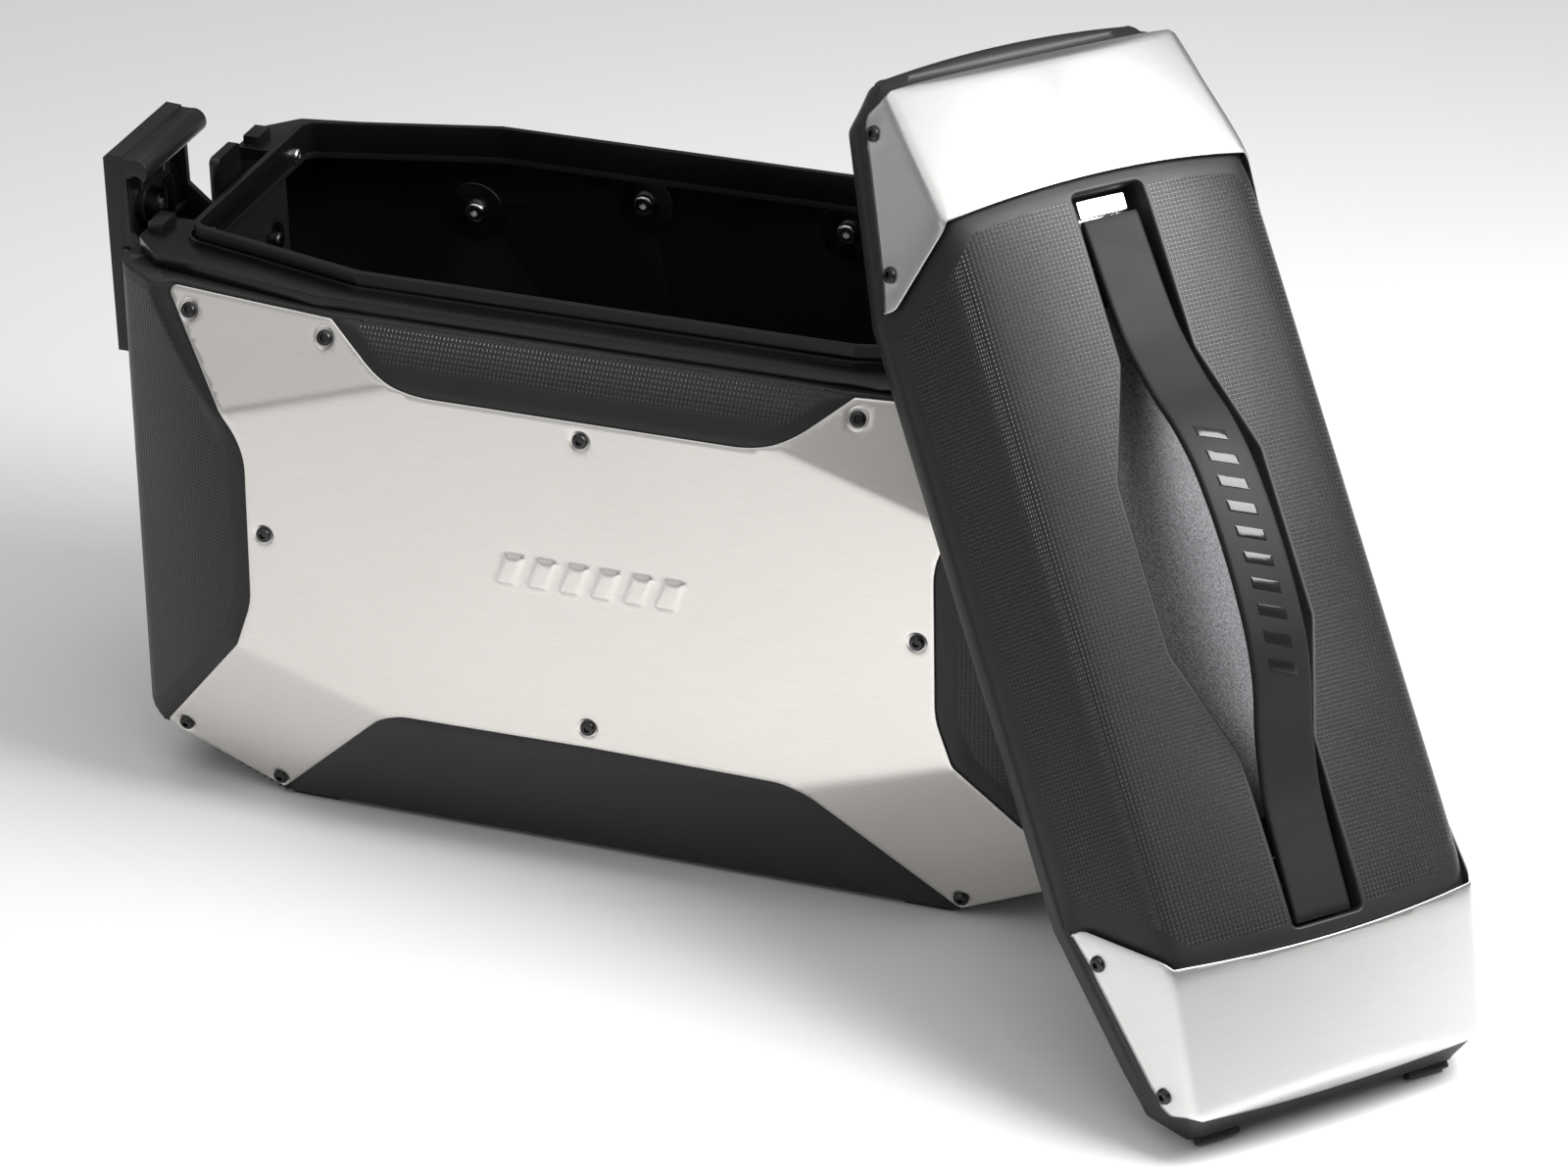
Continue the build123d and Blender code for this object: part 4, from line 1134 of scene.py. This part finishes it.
def strap_half(name, x_from, x_to, start, end):
    """Half of the strap: a band with rounded edges, thinner at its outer end, and its raised bars."""
    w, t = STRAP_W / 2, STRAP_T
    profile = rounded([(-w, 0), (w, 0), (w, t), (-w, t)], [1.2, 1.2, 1.6, 1.6], 0.6)
    profile = resample(profile, 2.5)

    def section(x):
        end_gap = min(abs(x - STRAP_ENDS[0]), abs(x - STRAP_ENDS[1]))
        shrink = 1 - 0.35 * (1 - smoothstep(end_gap, 0, 2.5))
        return [(y * (0.97 + 0.03 * shrink), t / 2 + (h - t / 2) * shrink) for y, h in profile]

    verts, faces = band(np.linspace(x_from, x_to, 80), section)
    outer_end = 0 if x_from in STRAP_ENDS else len(verts) - len(profile)
    faces.append(tuple(range(outer_end, outer_end + len(profile))))
    marks = [0] * len(faces)
    for centre in MARK_PLACES:
        if min(x_from, x_to) < centre < max(x_from, x_to):
            pad, pad_faces = strap_mark(centre)
            faces += [tuple(len(verts) + i for i in f) for f in pad_faces]
            marks += [1] * len(pad_faces)
            verts += pad
    strap = make_mesh(name, verts, faces, [RUBBER, GLOSS_MARK], marks)
    face_out_from(strap, Vector((0, 0, -5)))
    shade_by_angle(strap, 62)
    return bend_with_strap(strap)


def core_half(name, x_from, x_to, start, end):
    """Half of the spring-steel strip inside the strap, shaped along the strap's curve."""
    w, low, high = CORE_W / 2, CORE_LOW, CORE_LOW + CORE_T
    corners = [(-w, low), (w, low), (w, high), (-w, high)]
    verts, faces = band(np.linspace(x_from, x_to, 60), lambda x: corners)
    faces += [(0, 1, 2, 3), tuple(range(len(verts) - 4, len(verts)))]
    core = make_mesh(name, verts, faces, [BRIGHT_STEEL])
    shade_by_angle(core)
    return bend_with_strap(core)


CORE_W, CORE_T, CORE_LOW, CORE_SHORT = 20.0, 1.0, 1.5, 2.0
STRAP_MIDDLE = 5.0
LOWER_BEND, UPPER_BEND = ((166, 0, 57), (60, 0, 72)), ((-156, 0, 57), (-50, 0, 72))
lower_core = core_half("strap_core_lower_half", STRAP_MIDDLE, STRAP_ENDS[1] - CORE_SHORT, *LOWER_BEND)
core_half("strap_core_upper_half", STRAP_MIDDLE, STRAP_ENDS[0] + CORE_SHORT, *UPPER_BEND)
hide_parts("strap_spring_core")
lower_half = strap_half("strap_lower_half", STRAP_MIDDLE, STRAP_ENDS[1], *LOWER_BEND)
strap_half("strap_upper_half", STRAP_ENDS[0], STRAP_MIDDLE, *UPPER_BEND)
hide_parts("strap_cover")


# ------------------------------------------------------------------ CAD nodes that stay, with finishes
FINISHES = {
    "case_shell": (INTERIOR, 1.5),
    "rim_frame": (GLOSS, 0.5),
    "rim_frame_screws": (BRIGHT_STEEL, 0),
    "base_feet": (PLASTIC, 0.5),
    "carrier_washers": (WASHER, 0.5),
    "carrier_screws": (BRIGHT_STEEL, 0),
    "carrier_lock_housing": (PLASTIC, 0.8),
    "carrier_lock_bolt": (BRIGHT_STEEL, 0.5),
    "carrier_lock_spring": (BRIGHT_STEEL, 0),
    "lid_recess_insert": (SPECKLE, 0.2),
    "lid_seal": (SEAL, 0.5),
    "lid_end_catches": (LATCH, 0.8),
    "strap_lower_bracket": (BRIGHT_STEEL, 0.3),
    "strap_upper_bracket": (BRIGHT_STEEL, 0.3),
    "strap_bracket_screws": (BRIGHT_STEEL, 0),
}
for side in ("left", "right"):
    FINISHES[f"{side}_carrier_hook"] = (PLASTIC, 1.0)
    FINISHES[f"{side}_latch_base"] = (LATCH, 0.6)
    FINISHES[f"{side}_latch_lever"] = (LATCH, 0.9)
    FINISHES[f"{side}_latch_pivot_pin"] = (BLACK_STEEL, 0)
    FINISHES[f"{side}_latch_stop_pin"] = (BLACK_STEEL, 0)
    FINISHES[f"{side}_latch_spring"] = (BLACK_STEEL, 0)
    FINISHES[f"{side}_latch_screws"] = (BLACK_STEEL, 0)
    FINISHES[f"{side}_latch_washers"] = (BLACK_STEEL, 0)
    FINISHES[f"{side}_lock_barrel"] = (BLACK_STEEL, 0.3)
    FINISHES[f"{side}_lock_rotor"] = (BRIGHT_STEEL, 0)
    FINISHES[f"{side}_lock_cam"] = (BLACK_STEEL, 0.2)
for name, (material, bevel) in FINISHES.items():
    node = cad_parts[name]
    node.data.materials.clear()
    node.data.materials.append(material)
    if bevel:
        round_edges(node, bevel)
    else:
        shade_by_angle(node)

# ------------------------------------------------------------------ stage, light and camera
def build_floor():
    half = 6000.0
    floor = make_mesh("floor", [(-half, -half, 0), (half, -half, 0), (half, half, 0), (-half, half, 0)],
                      [(0, 1, 2, 3)], [floor_material()])


def floor_material():
    make = Finish("pale_floor", Roughness=0.9)
    make.feed(make.shader, {"Base Color": make.tint(make.noise(2, 2), (0.86,) * 3, (0.88,) * 3)})
    return make.material


def area_light(name, place, aim, size, power, colour=(1, 1, 1)):
    data = bpy.data.lights.new(name, "AREA")
    data.shape = "RECTANGLE"
    data.size, data.size_y = size
    data.energy = power
    data.color = colour
    light = bpy.data.objects.new(name, data)
    light.location = place
    light.visible_camera = False
    light.rotation_mode = "QUATERNION"
    light.rotation_quaternion = (Vector(aim) - Vector(place)).to_track_quat("-Z", "Y")
    bpy.context.scene.collection.objects.link(light)


def build_lights():
    world = bpy.data.worlds.new("studio")
    world.use_nodes = True
    world.node_tree.nodes["Background"].inputs["Color"].default_value = (1, 1, 1, 1)
    world.node_tree.nodes["Background"].inputs["Strength"].default_value = 0.2
    bpy.context.scene.world = world
    area_light("ceiling", (0.1, -0.3, 1.9), (0.1, -0.3, 0), (3.4, 3.4), 33)
    area_light("right_box", (0.80, -0.10, 0.92), (0.25, -0.06, 0.30), (0.5, 0.6), 17)
    area_light("front_box", (-1.5, -3.0, 1.05), (-0.1, -0.1, 0.25), (2.6, 1.3), 7)
    area_light("left_box", (-2.4, -0.1, 0.7), (0, 0, 0.25), (1.2, 1.0), 2)


CAMERA_AZIMUTH, CAMERA_ELEVATION, CAMERA_ROLL = 20.816, 28.750, -1.084
CAMERA_PLACE = (0.88365, -2.1834, 1.3875)
CAMERA_LENS, CAMERA_SENSOR = 126.46, 36.0


def build_camera():
    data = bpy.data.cameras.new("camera")
    data.lens, data.sensor_width = CAMERA_LENS, CAMERA_SENSOR
    camera = bpy.data.objects.new("camera", data)
    azimuth, elevation = math.radians(CAMERA_AZIMUTH), math.radians(CAMERA_ELEVATION)
    back = Vector((math.sin(azimuth) * math.cos(elevation), -math.cos(azimuth) * math.cos(elevation),
                   math.sin(elevation)))
    right = Vector((math.cos(azimuth), math.sin(azimuth), 0))
    up = back.cross(right)
    level = Matrix((right, up, back)).transposed()
    camera.matrix_world = (level @ Matrix.Rotation(math.radians(CAMERA_ROLL), 3, "Z")).to_4x4()
    camera.location = CAMERA_PLACE
    data.clip_start, data.clip_end = 0.1, 60
    bpy.context.scene.collection.objects.link(camera)
    bpy.context.scene.camera = camera


build_floor()
build_lights()
build_camera()
bpy.context.scene.view_settings.view_transform = "Standard"
